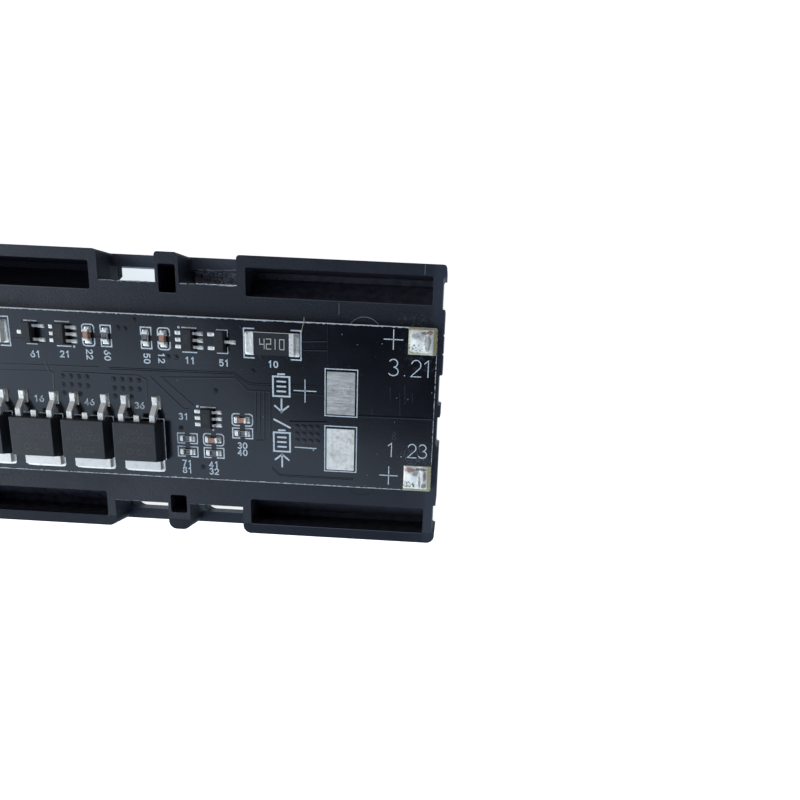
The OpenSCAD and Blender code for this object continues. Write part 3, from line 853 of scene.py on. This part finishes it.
def dome(middle, size, height, base, square=4.0, swell=2.5, rings=6, sides=24, rim=None):
    """A cushion: rounded rectangles that shrink as they rise from the base.

    The outline is a superellipse of power `square`; at radius r the height is
    (1 - r to the power swell), to the power one half, times the full height.
    With a `rim` it is a fillet instead: a thin flat rim, then a hollow slope
    that rises as the square of the way in.
    """
    angle = np.linspace(0, 2 * np.pi, sides, endpoint=False)
    c, s = np.cos(angle), np.sin(angle)
    reach = (abs(c) ** square + abs(s) ** square) ** (-1 / square)
    r = np.concatenate([[1.0], np.sin(np.linspace(np.pi / 2, 0.05, rings))])[:, None]
    z = base + height * np.sqrt(np.clip(1 - r ** swell, 0, 1))
    if rim is not None:
        z = base + rim + (height - rim) * np.clip((0.93 - r) / 0.5, 0, 1) ** 2
    z[0] = base - SKIRT
    flat = np.ones_like(angle)
    return np.stack([middle[0] + size[0] / 2 * r * reach * c,
                     middle[1] + size[1] / 2 * r * reach * s, z * flat], -1)


print("a dome is a grid of", dome((0, 0), (1, 1), 0.1, 0).shape)

# %% Places


def arc(cx, cy, rx, ry, start, end, count=10):
    """Points on an ellipse from one angle to another, in degrees."""
    a = np.radians(np.linspace(start, end, count))
    return np.column_stack([cx + rx * np.cos(a), cy + ry * np.sin(a)])


def middle(*names):
    """The middle (x, y) of some nodes together, in millimetres."""
    low = np.min([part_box(n)[0] for n in names], 0)
    high = np.max([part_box(n)[1] for n in names], 0)
    return (low + high)[:2] / 2 / MM


print("the board's middle is", middle("circuit_board"))

# %% [markdown]
# ## White print
# Boards are printed with white epoxy ink through a fine screen. A font could set
# the numbers, but printed digits have one even line and round ends, so each digit
# is a short path for a `stroke`. The ink is a little uneven where it ran thin.

# %% Stroke digits
DIGITS = {
    "0": [arc(0.31, 0.5, 0.31, 0.5, 90, 430, 20)],
    "1": [[(0.12, 0.8), (0.36, 1), (0.36, 0)]],
    "2": [np.vstack([arc(0.31, 0.7, 0.29, 0.3, 165, -35), [(0, 0), (0.62, 0)]])],
    "3": [np.vstack([arc(0.3, 0.76, 0.26, 0.24, 150, -80),
                     arc(0.3, 0.26, 0.31, 0.26, 80, -150)])],
    "4": [[(0.46, 0), (0.46, 1), (0, 0.3), (0.64, 0.3)]],
    "5": [np.vstack([[(0.58, 1), (0.1, 1), (0.06, 0.56)],
                     arc(0.3, 0.33, 0.31, 0.33, 110, -145)])],
    "6": [np.vstack([[(0.46, 1)], arc(0.31, 0.31, 0.31, 0.31, 150, 495, 16)])],
    "7": [[(0, 1), (0.6, 1), (0.2, 0)]],
    "8": [arc(0.31, 0.76, 0.25, 0.24, -90, 250, 14), arc(0.31, 0.26, 0.31, 0.26, 90, 430, 14)],
    "9": [np.vstack([[(0.16, 0)], arc(0.31, 0.69, 0.31, 0.31, -30, 315, 16)])],
    ".": [[(0.3, 0.03), (0.32, 0.03)]],
}
INK = (TOP - 0.005, TOP + 0.022)
ink = Piece("white_print")
DIGIT_WIDE = 0.62
print("digits drawn:", " ".join(DIGITS))

# %% Print helpers


def line(path, width=0.17, closed=False):
    """One printed line."""
    ink.grid(stroke(path, width, *INK, closed=closed), wrap_u=closed)


def number(text, place, height, turn=0, width=0.155, piece=ink, level=INK, gap=0.86,
           digits=DIGITS):
    """Digits centred on a place, turned by some degrees."""
    step = gap * height
    a = math.radians(turn)
    spin = np.array([[math.cos(a), math.sin(a)], [-math.sin(a), math.cos(a)]])
    for k, digit in enumerate(text):
        left = (k - len(text) / 2) * step + (step - DIGIT_WIDE * height) / 2
        for path in digits[digit]:
            p = np.asarray(path) * height + (left, -height / 2)
            piece.grid(stroke(p @ spin + place, width, *level))


def plus(x, y, arm):
    """A plus sign of two lines, each twice `arm` long."""
    line([(x - arm, y), (x + arm, y)], 0.13)
    line([(x, y - arm), (x, y + arm)], 0.13)


def brackets(place, size, across=False, gap=0.9, corner=0.0, width=0.18):
    """A part outline: two facing brackets, with the corners cut or rounded."""
    h, w = size[0] / 2, size[1] / 2
    for side in (-1, 1):
        if corner:
            ends = [arc(h - corner, s * (w - corner), corner, corner, *turn, 6)
                    for s, turn in ((1, (90, 0)), (-1, (0, -90)))]
            p = np.vstack([[(gap / 2, w)], *ends, [(gap / 2, -w)]])
        else:
            p = np.array([(gap / 2, w), (h, w), (h, -w), (gap / 2, -w)])
        p = p * side
        line((p[:, ::-1] if across else p) + place, width)


def dot(x, y, size):
    """A round printed dot."""
    ink.grid(dome((x, y), (size, size), 0.03, TOP, square=2, sides=14))


print("print helpers ready")

# %% [markdown]
# ## Outlines
# Each part has a printed outline, so that a person can see what goes where. The
# outlines could be placed by hand, but they follow the parts' own boxes here and
# move with them. Those of the capacitors have round corners, the rest sharp ones.

# %% Print every outline
for side in ("left", "right"):
    brackets(middle(f"channel_resistor_{side}_body"), (2.93, 1.47), across=True)
    brackets(middle(f"channel_capacitor_{side}_body"), (3.0, 1.72), across=True, corner=0.42)
    brackets(middle(f"shunt_{side}_body"), (8.14, 4.05), gap=5.3)
for k in (1, 2, 3, 4):
    brackets(middle(f"sense_resistor_{k}_body"), (2.93, 1.47))
for k in (1, 2):
    brackets(middle(f"sense_capacitor_{k}_body"), (3.0, 1.72), corner=0.42)
for pad in ("plus", "minus"):
    x, y = middle(f"output_pad_{pad}") + (0.02, 0.07)
    line([(x - 2.33, y - 3.36), (x + 2.33, y - 3.36), (x + 2.33, y + 3.36),
          (x - 2.33, y + 3.36)], 0.14, closed=True)
for k in (1, 2, 3, 4):
    x, y = middle(f"power_transistor_{k}_body")
    line([(x - 3.28, y - 2.85), (x - 3.28, y + 3.25), (x + 3.28, y + 3.25),
          (x + 3.28, y - 2.85)], 0.13)

for name, turn in (("protection_chip_left", -1), ("protection_chip_right", 1)):
    x, y = middle(name + "_body")
    for s in (-1, 1):
        line([(x - 1.0, y + 1.7 * s), (x + 1.0, y + 1.7 * s)])
    dot(x - 1.45 * turn, y + 1.7 * turn, 0.34)
x, y = middle("sensing_chip_body")
line([(x - 1.05, y + 1.62), (x + 1.05, y + 1.62)])
dot(x - 1.55, y + 1.68, 0.4)
dot(x + 0.65, y - 1.68, 0.3)
x, y = middle("small_transistor_left_body")
line([(x - 0.85, y + 1.62), (x + 0.85, y + 1.62)])
line([(x - 0.75, y - 1.62), (x + 0.75, y - 1.62)], 0.12)
x, y = middle("small_transistor_right_body")
line([(x - 0.7, y + 1.62), (x + 0.85, y + 1.62), (x + 0.85, y + 0.75)], 0.14)
line([(x - 0.7, y - 1.62), (x + 0.85, y - 1.62), (x + 0.85, y - 0.75)], 0.12)
print("outlines printed:", len(ink.points), "strokes")

# %% [markdown]
# ## Signs and numbers
# The signs tell the user where each wire goes, and the small numbers stand for the
# parts beside them. Only plain numbers and signs are printed here, from a table of
# places, because nothing on the board rules where they stand.
# The large upright sign shows power flowing in and out of a cell.

# %% Print signs and numbers
LABEL, LABEL_LINE, LABEL_GAP = 0.84, 0.17, 0.95
plus(32.67, 9.96, 1.34)
plus(32.56, -9.66, 1.35)
plus(20.14, 2.14, 1.6)
line([(18.63, -6.15), (21.75, -6.2)], 0.14)
line([(21.3, -6.2), (21.36, -6.5)], 0.1)
number("3.21", (35.2, 6.1), 2.3, width=0.14, gap=0.7)
number("1.23", (35.1, -5.8), 2.0, width=0.14, gap=0.78)

UPRIGHT_NUMBERS = {(-18.93, 5.44): "61", (-14.59, 5.65): "21", (3.57, 5.63): "11",
                   (8.49, 5.52): "51", (15.55, 5.69): "10", (-19.12, -0.96): "16",
                   (-11.62, -1.08): "46", (-4.22, -1.21): "36", (2.22, -2.48): "31",
                   (2.44, -9.45): "71", (2.44, -10.5): "81", (6.44, -9.45): "41",
                   (6.44, -10.5): "32", (10.81, -6.35): "30", (10.81, -7.4): "40"}
SIDEWAYS_NUMBERS = {(-10.98, 5.76): "22", (-8.39, 5.75): "60", (-2.66, 5.61): "50",
                    (-0.54, 5.78): "12"}
for table, turn in ((UPRIGHT_NUMBERS, 0), (SIDEWAYS_NUMBERS, -90)):
    for place, text in table.items():
        number(text, place, LABEL, turn, LABEL_LINE, gap=LABEL_GAP)
print("numbers printed:", len(UPRIGHT_NUMBERS) + len(SIDEWAYS_NUMBERS) + 2)

# %% The flow sign and the ink


def flow_sign(y, direction):
    """A cell with its level bars, and an arrow into it or out of it."""
    x, w = 16.7, 0.24
    line([(x - 1.2, y + 1.2), (x + 1.2, y + 1.2), (x + 1.2, y + 4.0), (x - 1.2, y + 4.0)],
         w, closed=True)
    line([(x - 0.45, y + 4.35), (x + 0.45, y + 4.35)], w)
    for bar in (1.9, 2.6, 3.3):
        line([(x - 0.6, y + bar), (x + 0.6, y + bar)], w)
    tip = y + (0.75 if direction > 0 else -1.0)
    line([(x, y - 1.1), (x, y + 0.8)], w)
    line([(x - 1.0, tip - direction * 0.8), (x, tip), (x + 1.0, tip - direction * 0.8)], w)


flow_sign(-8.1, 1)
flow_sign(0.0, -1)
line([(15.6, -2.2), (17.9, -3.3)], 0.26)


def ink_finish():
    """White ink with greyer clouds where it ran thin."""
    f = Finish("white_epoxy_ink", (0.7, 0.78, 0.8), 0.5)
    f.tint(f.ramp(f.noise(3.2, detail=5), 0.5, 0.72, (0, 0.6)), (0.2, 0.24, 0.27))
    f.bump(f.noise(6, detail=2), 0.01, 0.5)
    return f


ink.build(ink_finish(), smooth=False)

# %% [markdown]
# ## Solder under every foot
# Paste melts into a low bright cushion round each foot and end cap. It shows most
# on the side that the foot points to. A fluid simulation could shape it, but a
# cushion is so low that a `dome` under each foot, placed from the node's own box,
# looks the same and costs little.

# %% Solder cushions
FOOT_OUT, FOOT_PITCH, LEAD_OUT = 1.55, 0.95, 2.285
paste = Piece("reflowed_solder")


def pool(x, y, l, w, h=0.12, rim=None):
    """One cushion, l by w at its foot and h high; a rim makes it a fillet."""
    paste.grid(dome((x, y), (l, w), h, TOP, square=11, swell=8, rings=9, sides=32, rim=rim))


def chip_pools(name, columns):
    """One cushion under each foot of a small package; columns hold (side, row)."""
    x, y = middle(name + "_body")
    for side, row in columns:
        pool(x + side * FOOT_OUT, y + row * FOOT_PITCH, 0.95, 0.58)


SIX_FEET = [(s, r) for s in (-1, 1) for r in (-1, 0, 1)]
for name in ("protection_chip_left", "protection_chip_right", "sensing_chip"):
    chip_pools(name, SIX_FEET)
chip_pools("small_transistor_left", [(1, -1), (1, 1), (-1, 0)])
chip_pools("small_transistor_right", [(-1, -1), (-1, 1), (1, 0)])


def end_pools(name, across, half, l, w, h):
    """A cushion under both ends of a two-ended part."""
    x, y = middle(name + "_body")
    for s in (-1, 1):
        if across:
            pool(x, y + s * half, w, l, h)
        else:
            pool(x + s * half, y, l, w, h)


for side in ("left", "right"):
    end_pools(f"channel_resistor_{side}", True, 0.78, 0.8, 0.92, 0.16)
    end_pools(f"channel_capacitor_{side}", True, 0.8, 0.85, 1.0, 0.25)
    end_pools(f"shunt_{side}", False, 3.15, 1.6, 3.25, 0.1)
for k in (1, 2, 3, 4):
    end_pools(f"sense_resistor_{k}", False, 0.78, 0.8, 0.92, 0.16)
for k in (1, 2):
    end_pools(f"sense_capacitor_{k}", False, 0.8, 0.85, 1.0, 0.25)

for k in (1, 2, 3, 4):
    x, y = middle(f"power_transistor_{k}_body")
    foot_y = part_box(f"power_transistor_{k}_leads")[1][1] / MM - 0.75
    for s in (-1, 1):
        pool(x + s * LEAD_OUT + 0.08, foot_y - 0.1, 1.16, 1.95, 0.1)
        pool(x + s * LEAD_OUT, foot_y + 0.42, 1.1, 0.85, 0.45)
    pool(x + 0.15, y - 3.5, 5.95, 2.45, 0.42, rim=0.05)
paste.build(solder)

# %% [markdown]
# ## Solder on the corner pads
# The corner pads carry hand-soldered joints: two lumps run together on each pad
# and stop short of its outer edge, where a strip of bare plating stays. Sculpting
# could make them, but a sum of smooth humps over a grid gives the same lumps and
# can be mirrored to all four corners.

# %% Corner joints


def joint(end, side):
    """A lumpy sheet over the pad: a hump, a tilted ridge, a dent and a thin rim.

    Each of them is a bell curve, the exponential of minus the squared distance; the
    rim pulls the height to nothing along all four sides. `end` and `side` are 1
    or -1 and mirror the sheet, and its rows are flipped to keep the faces outward.
    """
    name = f"cell_joint_{'back' if side > 0 else 'front'}_{'right' if end > 0 else 'left'}"
    low, high = (np.array(c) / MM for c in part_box(name))
    u, v = np.meshgrid(np.linspace(0, 1, 41), np.linspace(0, 1, 37), indexing="ij")
    x = low[0] + 0.04 + (high[0] - low[0] - 0.5) * u
    x = x if end > 0 else low[0] + high[0] - x
    y = low[1] + 0.04 + (high[1] - low[1] - 0.3) * v
    y = y if side > 0 else low[1] + high[1] - y[:, ::-1]
    hump = np.exp(-((u - 0.34) / 0.24) ** 2 - ((v - 0.62) / 0.26) ** 2)
    ridge = np.exp(-((u - 0.8 - 0.1 * (v - 0.5)) / 0.15) ** 2 - ((v - 0.5) / 0.38) ** 2)
    dent = 0.6 * np.exp(-((u - 0.62) / 0.08) ** 2 - ((v - 0.85) / 0.1) ** 2)
    ripple = np.sin(17 * u + 9 * v) * np.cos(19 * v - 8 * u) * 0.05 * (1.3 - v) - dent
    rim = np.clip(16 * u * (1 - u), 0, 1) * np.clip(16 * v * (1 - v), 0, 1)
    peak = 0.8 * hump + 0.95 * ridge + ripple + 0.16
    z = low[2] + 0.13 + (high[2] - low[2] - 0.15) * np.clip(peak, 0, 1) * rim ** 0.5
    top = np.stack([x, y, z], -1)
    under = top.copy()
    under[..., 2] = low[2] + 0.1
    shape = Piece("lumpy_" + name)
    flip = slice(None, None, -1)
    turned = (top, under) if end > 0 else (top[flip], under[flip])
    shape.grid(turned[0], wrap_v=False, cap=False)
    shape.grid(turned[1][:, flip], wrap_v=False, cap=False)
    edges = [np.stack([turned[1][0, flip], turned[0][0, flip]]),
             np.stack([turned[1][-1], turned[0][-1]]),
             np.stack([turned[1][:, 0], turned[0][:, 0]]),
             np.stack([turned[1][flip, -1], turned[0][flip, -1]])]
    for e in edges:
        shape.grid(e, wrap_v=False, cap=False)
    plate = Piece("bare_" + name)
    cx, cy = (low + high)[:2] / 2
    plate.grid(stroke([(low[0], cy), (high[0], cy)], high[1] - low[1], low[2] - 0.01,
                      low[2] + 0.11)[3:-3])
    return shape, plate, name


flux_plate = tinned("fluxed_plating", (0.5, 0.44, 0.22), 0.4)
for end in (-1, 1):
    for side in (-1, 1):
        shape, plate, name = joint(end, side)
        shape.build(hand_solder, replaced=(name,))
        plate.build(flux_plate, smooth=False)

# %% [markdown]
# ## Copper and holes under the mask
# Traces, filled areas and plated holes show through the mask only as a low relief.
# A bump map would show it in the shading but not in the shape, so each edge
# is a thin ridge, and each hole is a small dark dimple in a ring.

# %% Copper relief
EDGE_LEVEL, SPLIT_LEVEL = (TOP - 0.005, TOP + 0.012), (TOP - 0.005, TOP + 0.006)
copper = Piece("copper_edges")
EDGES = [
    [(-8.3, 4.0), (9.8, 4.2), (12.0, 2.8), (22.9, 2.9)],
    [(-0.9, 3.0), (10.0, 3.5), (11.8, 1.8), (22.9, 1.7)],
    [(13.0, 1.6), (12.8, -4.1)], [(13.6, 1.6), (13.4, -4.7)],
    [(14.2, 1.6), (14.1, -5.4), (12.9, -5.5)], [(15.1, 1.6), (15.0, -4.9)],
    [(15.2, -9.5), (16.3, -10.5), (27.2, -10.5)],
    [(-2.4, 3.0), (2.3, -1.4), (3.0, -1.4)], [(-0.5, 2.8), (3.7, -0.8)],
    [(23.4, 11.3), (23.5, 6.0)], [(20.0, 9.1), (23.3, 9.3)], [(20.0, 7.9), (23.3, 8.0)],
    [(27.9, -1.1), (38.7, -1.0)], [(17.9, -2.5), (23.2, -2.3)],
    [(-24.4, 2.9), (-17.1, 3.1), (-16.6, 2.9), (-16.7, 0.7)],
    [(-15.3, 3.1), (-4.2, 3.1), (-3.0, 2.6), (-3.0, -0.1)], [(-24.4, 3.8), (-10.0, 4.0)],
    [(-17.6, 4.4), (-17.2, 3.2)], [(-10.1, 8.3), (-8.7, 8.1)], [(-10.1, 7.1), (-8.4, 6.9)],
    [(-0.8, 9.2), (0.9, 9.2)], [(-0.9, 7.6), (1.6, 7.4)], [(-23.9, 7.4), (-20.8, 7.5)],
    [(-26, 11.2), (-26, 6.6), (-38, 6.6)], [(11.0, 10.8), (14.0, 6.3)],
]
bands(copper, EDGES, 0.34, EDGE_LEVEL, 0.8)
copper.build(mask, smooth=False)

splits = Piece("copper_splits")
bands(splits, [[(27.9, -0.95), (38.7, -0.85)]], 0.22, SPLIT_LEVEL)
bands(splits, [[(17.9, -2.35), (23.2, -2.15)]], 0.2, SPLIT_LEVEL)
bands(splits, [[(-8.3, 3.85), (9.8, 4.05), (12.0, 2.65), (22.9, 2.75)],
               [(15.2, -9.6), (16.3, -10.6), (27.2, -10.6)]], 0.12, SPLIT_LEVEL)
bands(splits, [[(23.3, 11.3), (23.4, 6.0)]], 0.1, SPLIT_LEVEL)
splits.build(Finish("shaded_split", (0.003, 0.004, 0.006), 0.5, Specular_IOR_Level=0.12),
             smooth=False)

# %% Plated holes
HOLES = [(x, 2.55) for x in (-15.3, -14.1, -12.9, -11.7)]
HOLES += [(-15.3, 1.25), (-14.1, 1.3), (-12.9, 1.3), (-11.7, 1.25), (-15.3, 0.05), (-12.9, 0.05)]
HOLES += [(x, y) for x in (-7.75, -6.55, -5.35, -4.1) for y in (2.45, 1.15)]
HOLES += [(-7.75, 0.0), (-5.35, 0.0), (0.4, 6.0), (1.6, 6.0), (4.78, -9.9),
          (1.76, -4.2), (-6.6, 9.7), (-5.6, 9.6), (-4.2, 10.9), (7.1, 1.5), (12.6, 4.6)]
FILLED = [(x, y) for x in (18.9, 19.9, 20.9, 21.9) for y in (-3.1, -4.2, -5.2)]
HALO, RIM, MOUTH, PLUG = ((width, width) for width in (0.76, 0.56, 0.36, 0.8))
rings = Piece("plated_hole_rims")
wells = Piece("plated_hole_wells")
for place in HOLES:
    wells.grid(dome(place, HALO, 0.006, TOP, square=2, sides=16))
    rings.grid(dome(place, RIM, 0.012, TOP, square=2, swell=5, sides=20))
    wells.grid(dome(place, MOUTH, 0.006, TOP + 0.011, square=2, sides=14))
for place in FILLED:
    rings.grid(dome(place, PLUG, 0.02, TOP, square=2, swell=3, sides=20))
rings.build(mask)
wells.build(Finish("hole_shadow", (0.004, 0.005, 0.007), 0.6, Specular_IOR_Level=0.2))

# %% [markdown]
# ## Marks on the parts
# The shunt carries its value in tan stencil digits. The small resistors have
# tiny white ones, and a laser has left faint brown-grey digits on the transistors
# and chips. The same strokes draw them, on the level of each part's own top face.

# %% Marks
STENCIL = {"0": [[(0.08, 0), (0.08, 1), (0.54, 1), (0.54, 0), (0.08, 0.01)]],
           "1": [[(0.3, 0), (0.3, 1)]],
           "2": [[(0.08, 1), (0.54, 1), (0.54, 0.5), (0.08, 0.5), (0.08, 0), (0.54, 0)]],
           "4": [[(0.08, 1), (0.08, 0.45), (0.54, 0.45)], [(0.54, 1), (0.54, 0)]]}


def top_of(name):
    """The level of a thin mark laid on a node's top face, in millimetres."""
    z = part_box(name)[1][2] / MM
    return (z - 0.003, z + 0.006)


def mark(piece, names, text, offset, height, width, turn=0, digits=DIGITS, gap=0.86):
    """The same digits on the top of several nodes, `offset` from their middles."""
    for name in names:
        number(text, middle(name) + offset, height, turn, width, piece, top_of(name), gap,
               digits)


stencil = Piece("shunt_digits")
mark(stencil, ["shunt_right_body", "shunt_left_body"], "4210", (0.1, 0), 1.38, 0.11,
     digits=STENCIL, gap=0.68)
for name in ("shunt_right_body", "shunt_left_body"):
    x, y = middle(name)
    stencil.grid(stroke([(x - 2.5, y + 1.56), (x + 2.5, y + 1.56)], 0.07, *top_of(name)))
stencil.build(Finish("tan_stencil", (0.6, 0.57, 0.5), 0.6), smooth=False)

# %% Resistor marks
small = Piece("resistor_digits")
mark(small, [f"sense_resistor_{k}_body" for k in (1, 2, 3, 4)], "100", (0, 0), 0.34, 0.05,
     digits=STENCIL)
mark(small, [f"channel_resistor_{side}_body" for side in ("left", "right")], "100", (0, 0),
     0.34, 0.05, turn=90, digits=STENCIL)
for name in bodies("sense_resistor", "channel_resistor"):
    for side in (-0.36, 0.36):
        ends = np.array([(-0.42, side), (0.42, side)])
        ends = ends[:, ::-1] if name.startswith("channel") else ends
        small.grid(stroke(ends + middle(name), 0.06, *top_of(name)))
small.build(Finish("white_stencil", (0.5, 0.5, 0.5), 0.6), smooth=False)

# %% Laser marks
laser = Piece("laser_digits")
fets = [f"power_transistor_{k}_body" for k in (1, 2, 3, 4)]
mark(laser, fets, "2042", (0.1, 1.5), 0.75, 0.09)
mark(laser, fets, "6104080", (0, 0.35), 0.9, 0.1, gap=0.8)
mark(laser, fets, "06", (0.9, -1.45), 0.8, 0.1)
mark(laser, bodies("protection_chip", "sensing_chip"), "208", (0, 0), 0.55, 0.07, turn=90)
for name in fets:
    x, y = middle(name)
    low, high = top_of(name)
    laser.grid(stroke(arc(x - 0.75, y - 1.4, 0.42, 0.42, 0, 345, 18), 0.12, low, high,
                      closed=True), wrap_u=True)
laser.build(epoxy("laser_burnt_epoxy", (0.052, 0.047, 0.038), 0.55, 0.02, 0.44),
            smooth=False)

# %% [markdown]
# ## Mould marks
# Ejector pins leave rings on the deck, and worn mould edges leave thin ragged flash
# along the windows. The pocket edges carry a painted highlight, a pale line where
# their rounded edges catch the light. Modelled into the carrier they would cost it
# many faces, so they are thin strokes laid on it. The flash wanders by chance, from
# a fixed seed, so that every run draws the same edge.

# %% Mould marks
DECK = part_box("circuit_board")[0][2] / MM
RAISED, EDGE_HIGHLIGHT_LEVEL = (DECK - 0.005, DECK + 0.015), (DECK - 0.005, DECK + 0.006)
PIN = 2.5
flash = Piece("mould_flash")
dark_rings = Piece("pressed_ejector_rings")
for x, y, start, end, piece in ((28.3, 10.4, 37, 143, flash), (-28.3, 10.4, 37, 143, flash),
                                (28.3, -10.8, 207, 333, dark_rings),
                                (-27.0, -10.8, 207, 333, dark_rings)):
    piece.grid(stroke(arc(x, y, PIN, PIN, start, end, 24), 0.11, *RAISED, 0.4))
dark_rings.build(Finish("pressed_plastic", (0.006, 0.008, 0.012), 0.6, Specular_IOR_Level=0.3))
bands(flash, ([(24.6, 14.6), (24.6, 13.0)], [(36.6, 20.4), (36.6, 19.0)]), 0.05, RAISED)
# Painted highlight: pale lines along the pocket edges, where they catch the light.
edge_highlights = Piece("painted_highlight_pocket_edges")
bands(edge_highlights, ([(11.5, 14.86), (37.7, 14.86)], [(37.93, 15.1), (37.93, 18.7)],
               [(-1.1, 14.86), (1.1, 14.86)], [(-11.5, 14.86), (-37.7, 14.86)],
               [(11.5, -18.93), (37.7, -18.93)]), 0.09, EDGE_HIGHLIGHT_LEVEL)
edge_highlights.build(Finish("pocket_edge_highlight", (0.045, 0.05, 0.062), 0.45), smooth=False)

# %% Ragged flash
draw = np.random.default_rng(7)
WINDOW_EDGE = 16.3
STEP, BAND = 0.22, 6


def ragged(x0, x1, y, z, width, swing):
    """A thin torn edge: short bands whose path and gaps wander.

    The path is a running sum of small random steps, less the straight line that
    would carry it away. A band starts at every BANDth point and has 4 to 6 points.
    """
    x = np.arange(x0, x1, STEP)
    wander = np.cumsum(draw.normal(0, swing, len(x)))
    wander -= np.linspace(0, wander[-1], len(x))
    path = np.column_stack([x, y + wander])
    for start in range(0, len(x) - 4, BAND):
        piece = path[start:start + draw.integers(4, 7)]
        if len(piece) > 1:
            flash.grid(stroke(piece, width * draw.uniform(0.5, 1.2), z - 0.01, z + 0.03, 0.4))


for x0, x1 in ((1.9, 9.8), (-9.8, -1.9)):
    ragged(x0, x1, WINDOW_EDGE - 0.06, DECK, 0.17, 0.018)
    ragged(x0, x1, 0.06 - WINDOW_EDGE, DECK, 0.07, 0.01)
ragged(2.6, 9.9, RAIL_IN + 0.04, 1.9, 0.24, 0.03)
flash.build(Finish("torn_plastic", (0.26, 0.28, 0.31), 0.5), smooth=False)

# %% [markdown]
# ## Dust, scratches and a hair
# Handling leaves dust, fine scratches and one hair. Particles could scatter the
# dust, but the larger specks lie in known places, so those are listed and only
# the finest are strewn by chance.

# %% Dust
dust = Piece("dust")
SPECKS = [(31.1, 9.3), (27.6, 9.0), (25.4, 10.3), (38.4, 2.8), (33.4, 1.8), (35.0, 1.7),
          (33.2, -1.7), (29.4, -9.8), (29.1, -11.4), (30.8, -6.5), (14.0, -1.9), (1.6, 2.7)]
many = np.column_stack([draw.uniform(-38, 38.4, 90), draw.uniform(-11.4, 11.4, 90)])
for place in SPECKS:
    dust.grid(dome(place, draw.uniform(0.14, 0.24, 2), 0.05, TOP, square=2, rings=3, sides=8))
for place in many:
    dust.grid(dome(place, draw.uniform(0.05, 0.1, 2), 0.02, TOP, square=2, rings=3, sides=6))

# %% Scratches and hair
SCRATCH = (TOP - 0.003, TOP + 0.004)
fine = Piece("fine_scratches")
bands(fine, ([(29.9, 0.1), (29.9, -0.8)], [(33.8, 2.6), (33.95, -0.8)],
             [(34.5, 3.7), (34.6, 0.9)], [(14.3, 5.1), (14.45, 5.35)],
             [(32.4, 3.3), (32.45, 1.5)], [(35.6, 2.6), (35.65, 1.2)]), 0.03, SCRATCH)
for y, r in ((-3.45, 0.22), (-4.0, 0.28)):
    fine.grid(stroke(arc(33.2, y, r, r, 0, 345, 14), 0.07, *SCRATCH, closed=True), wrap_u=True)
fine.build(Finish("fine_scratch", (0.03, 0.038, 0.052), 0.4))
dust.build(Finish("pale_dust", (0.15, 0.155, 0.16), 0.8))
hair = Piece("hair")
hair.grid(stroke([(20.05, 12.4), (20.0, 11.8), (19.8, 11.0), (19.65, 10.3)], 0.09, TOP + 0.03,
                 TOP + 0.09, 0.5))
hair.build(Finish("fair_hair", (0.5, 0.42, 0.3), 0.5))
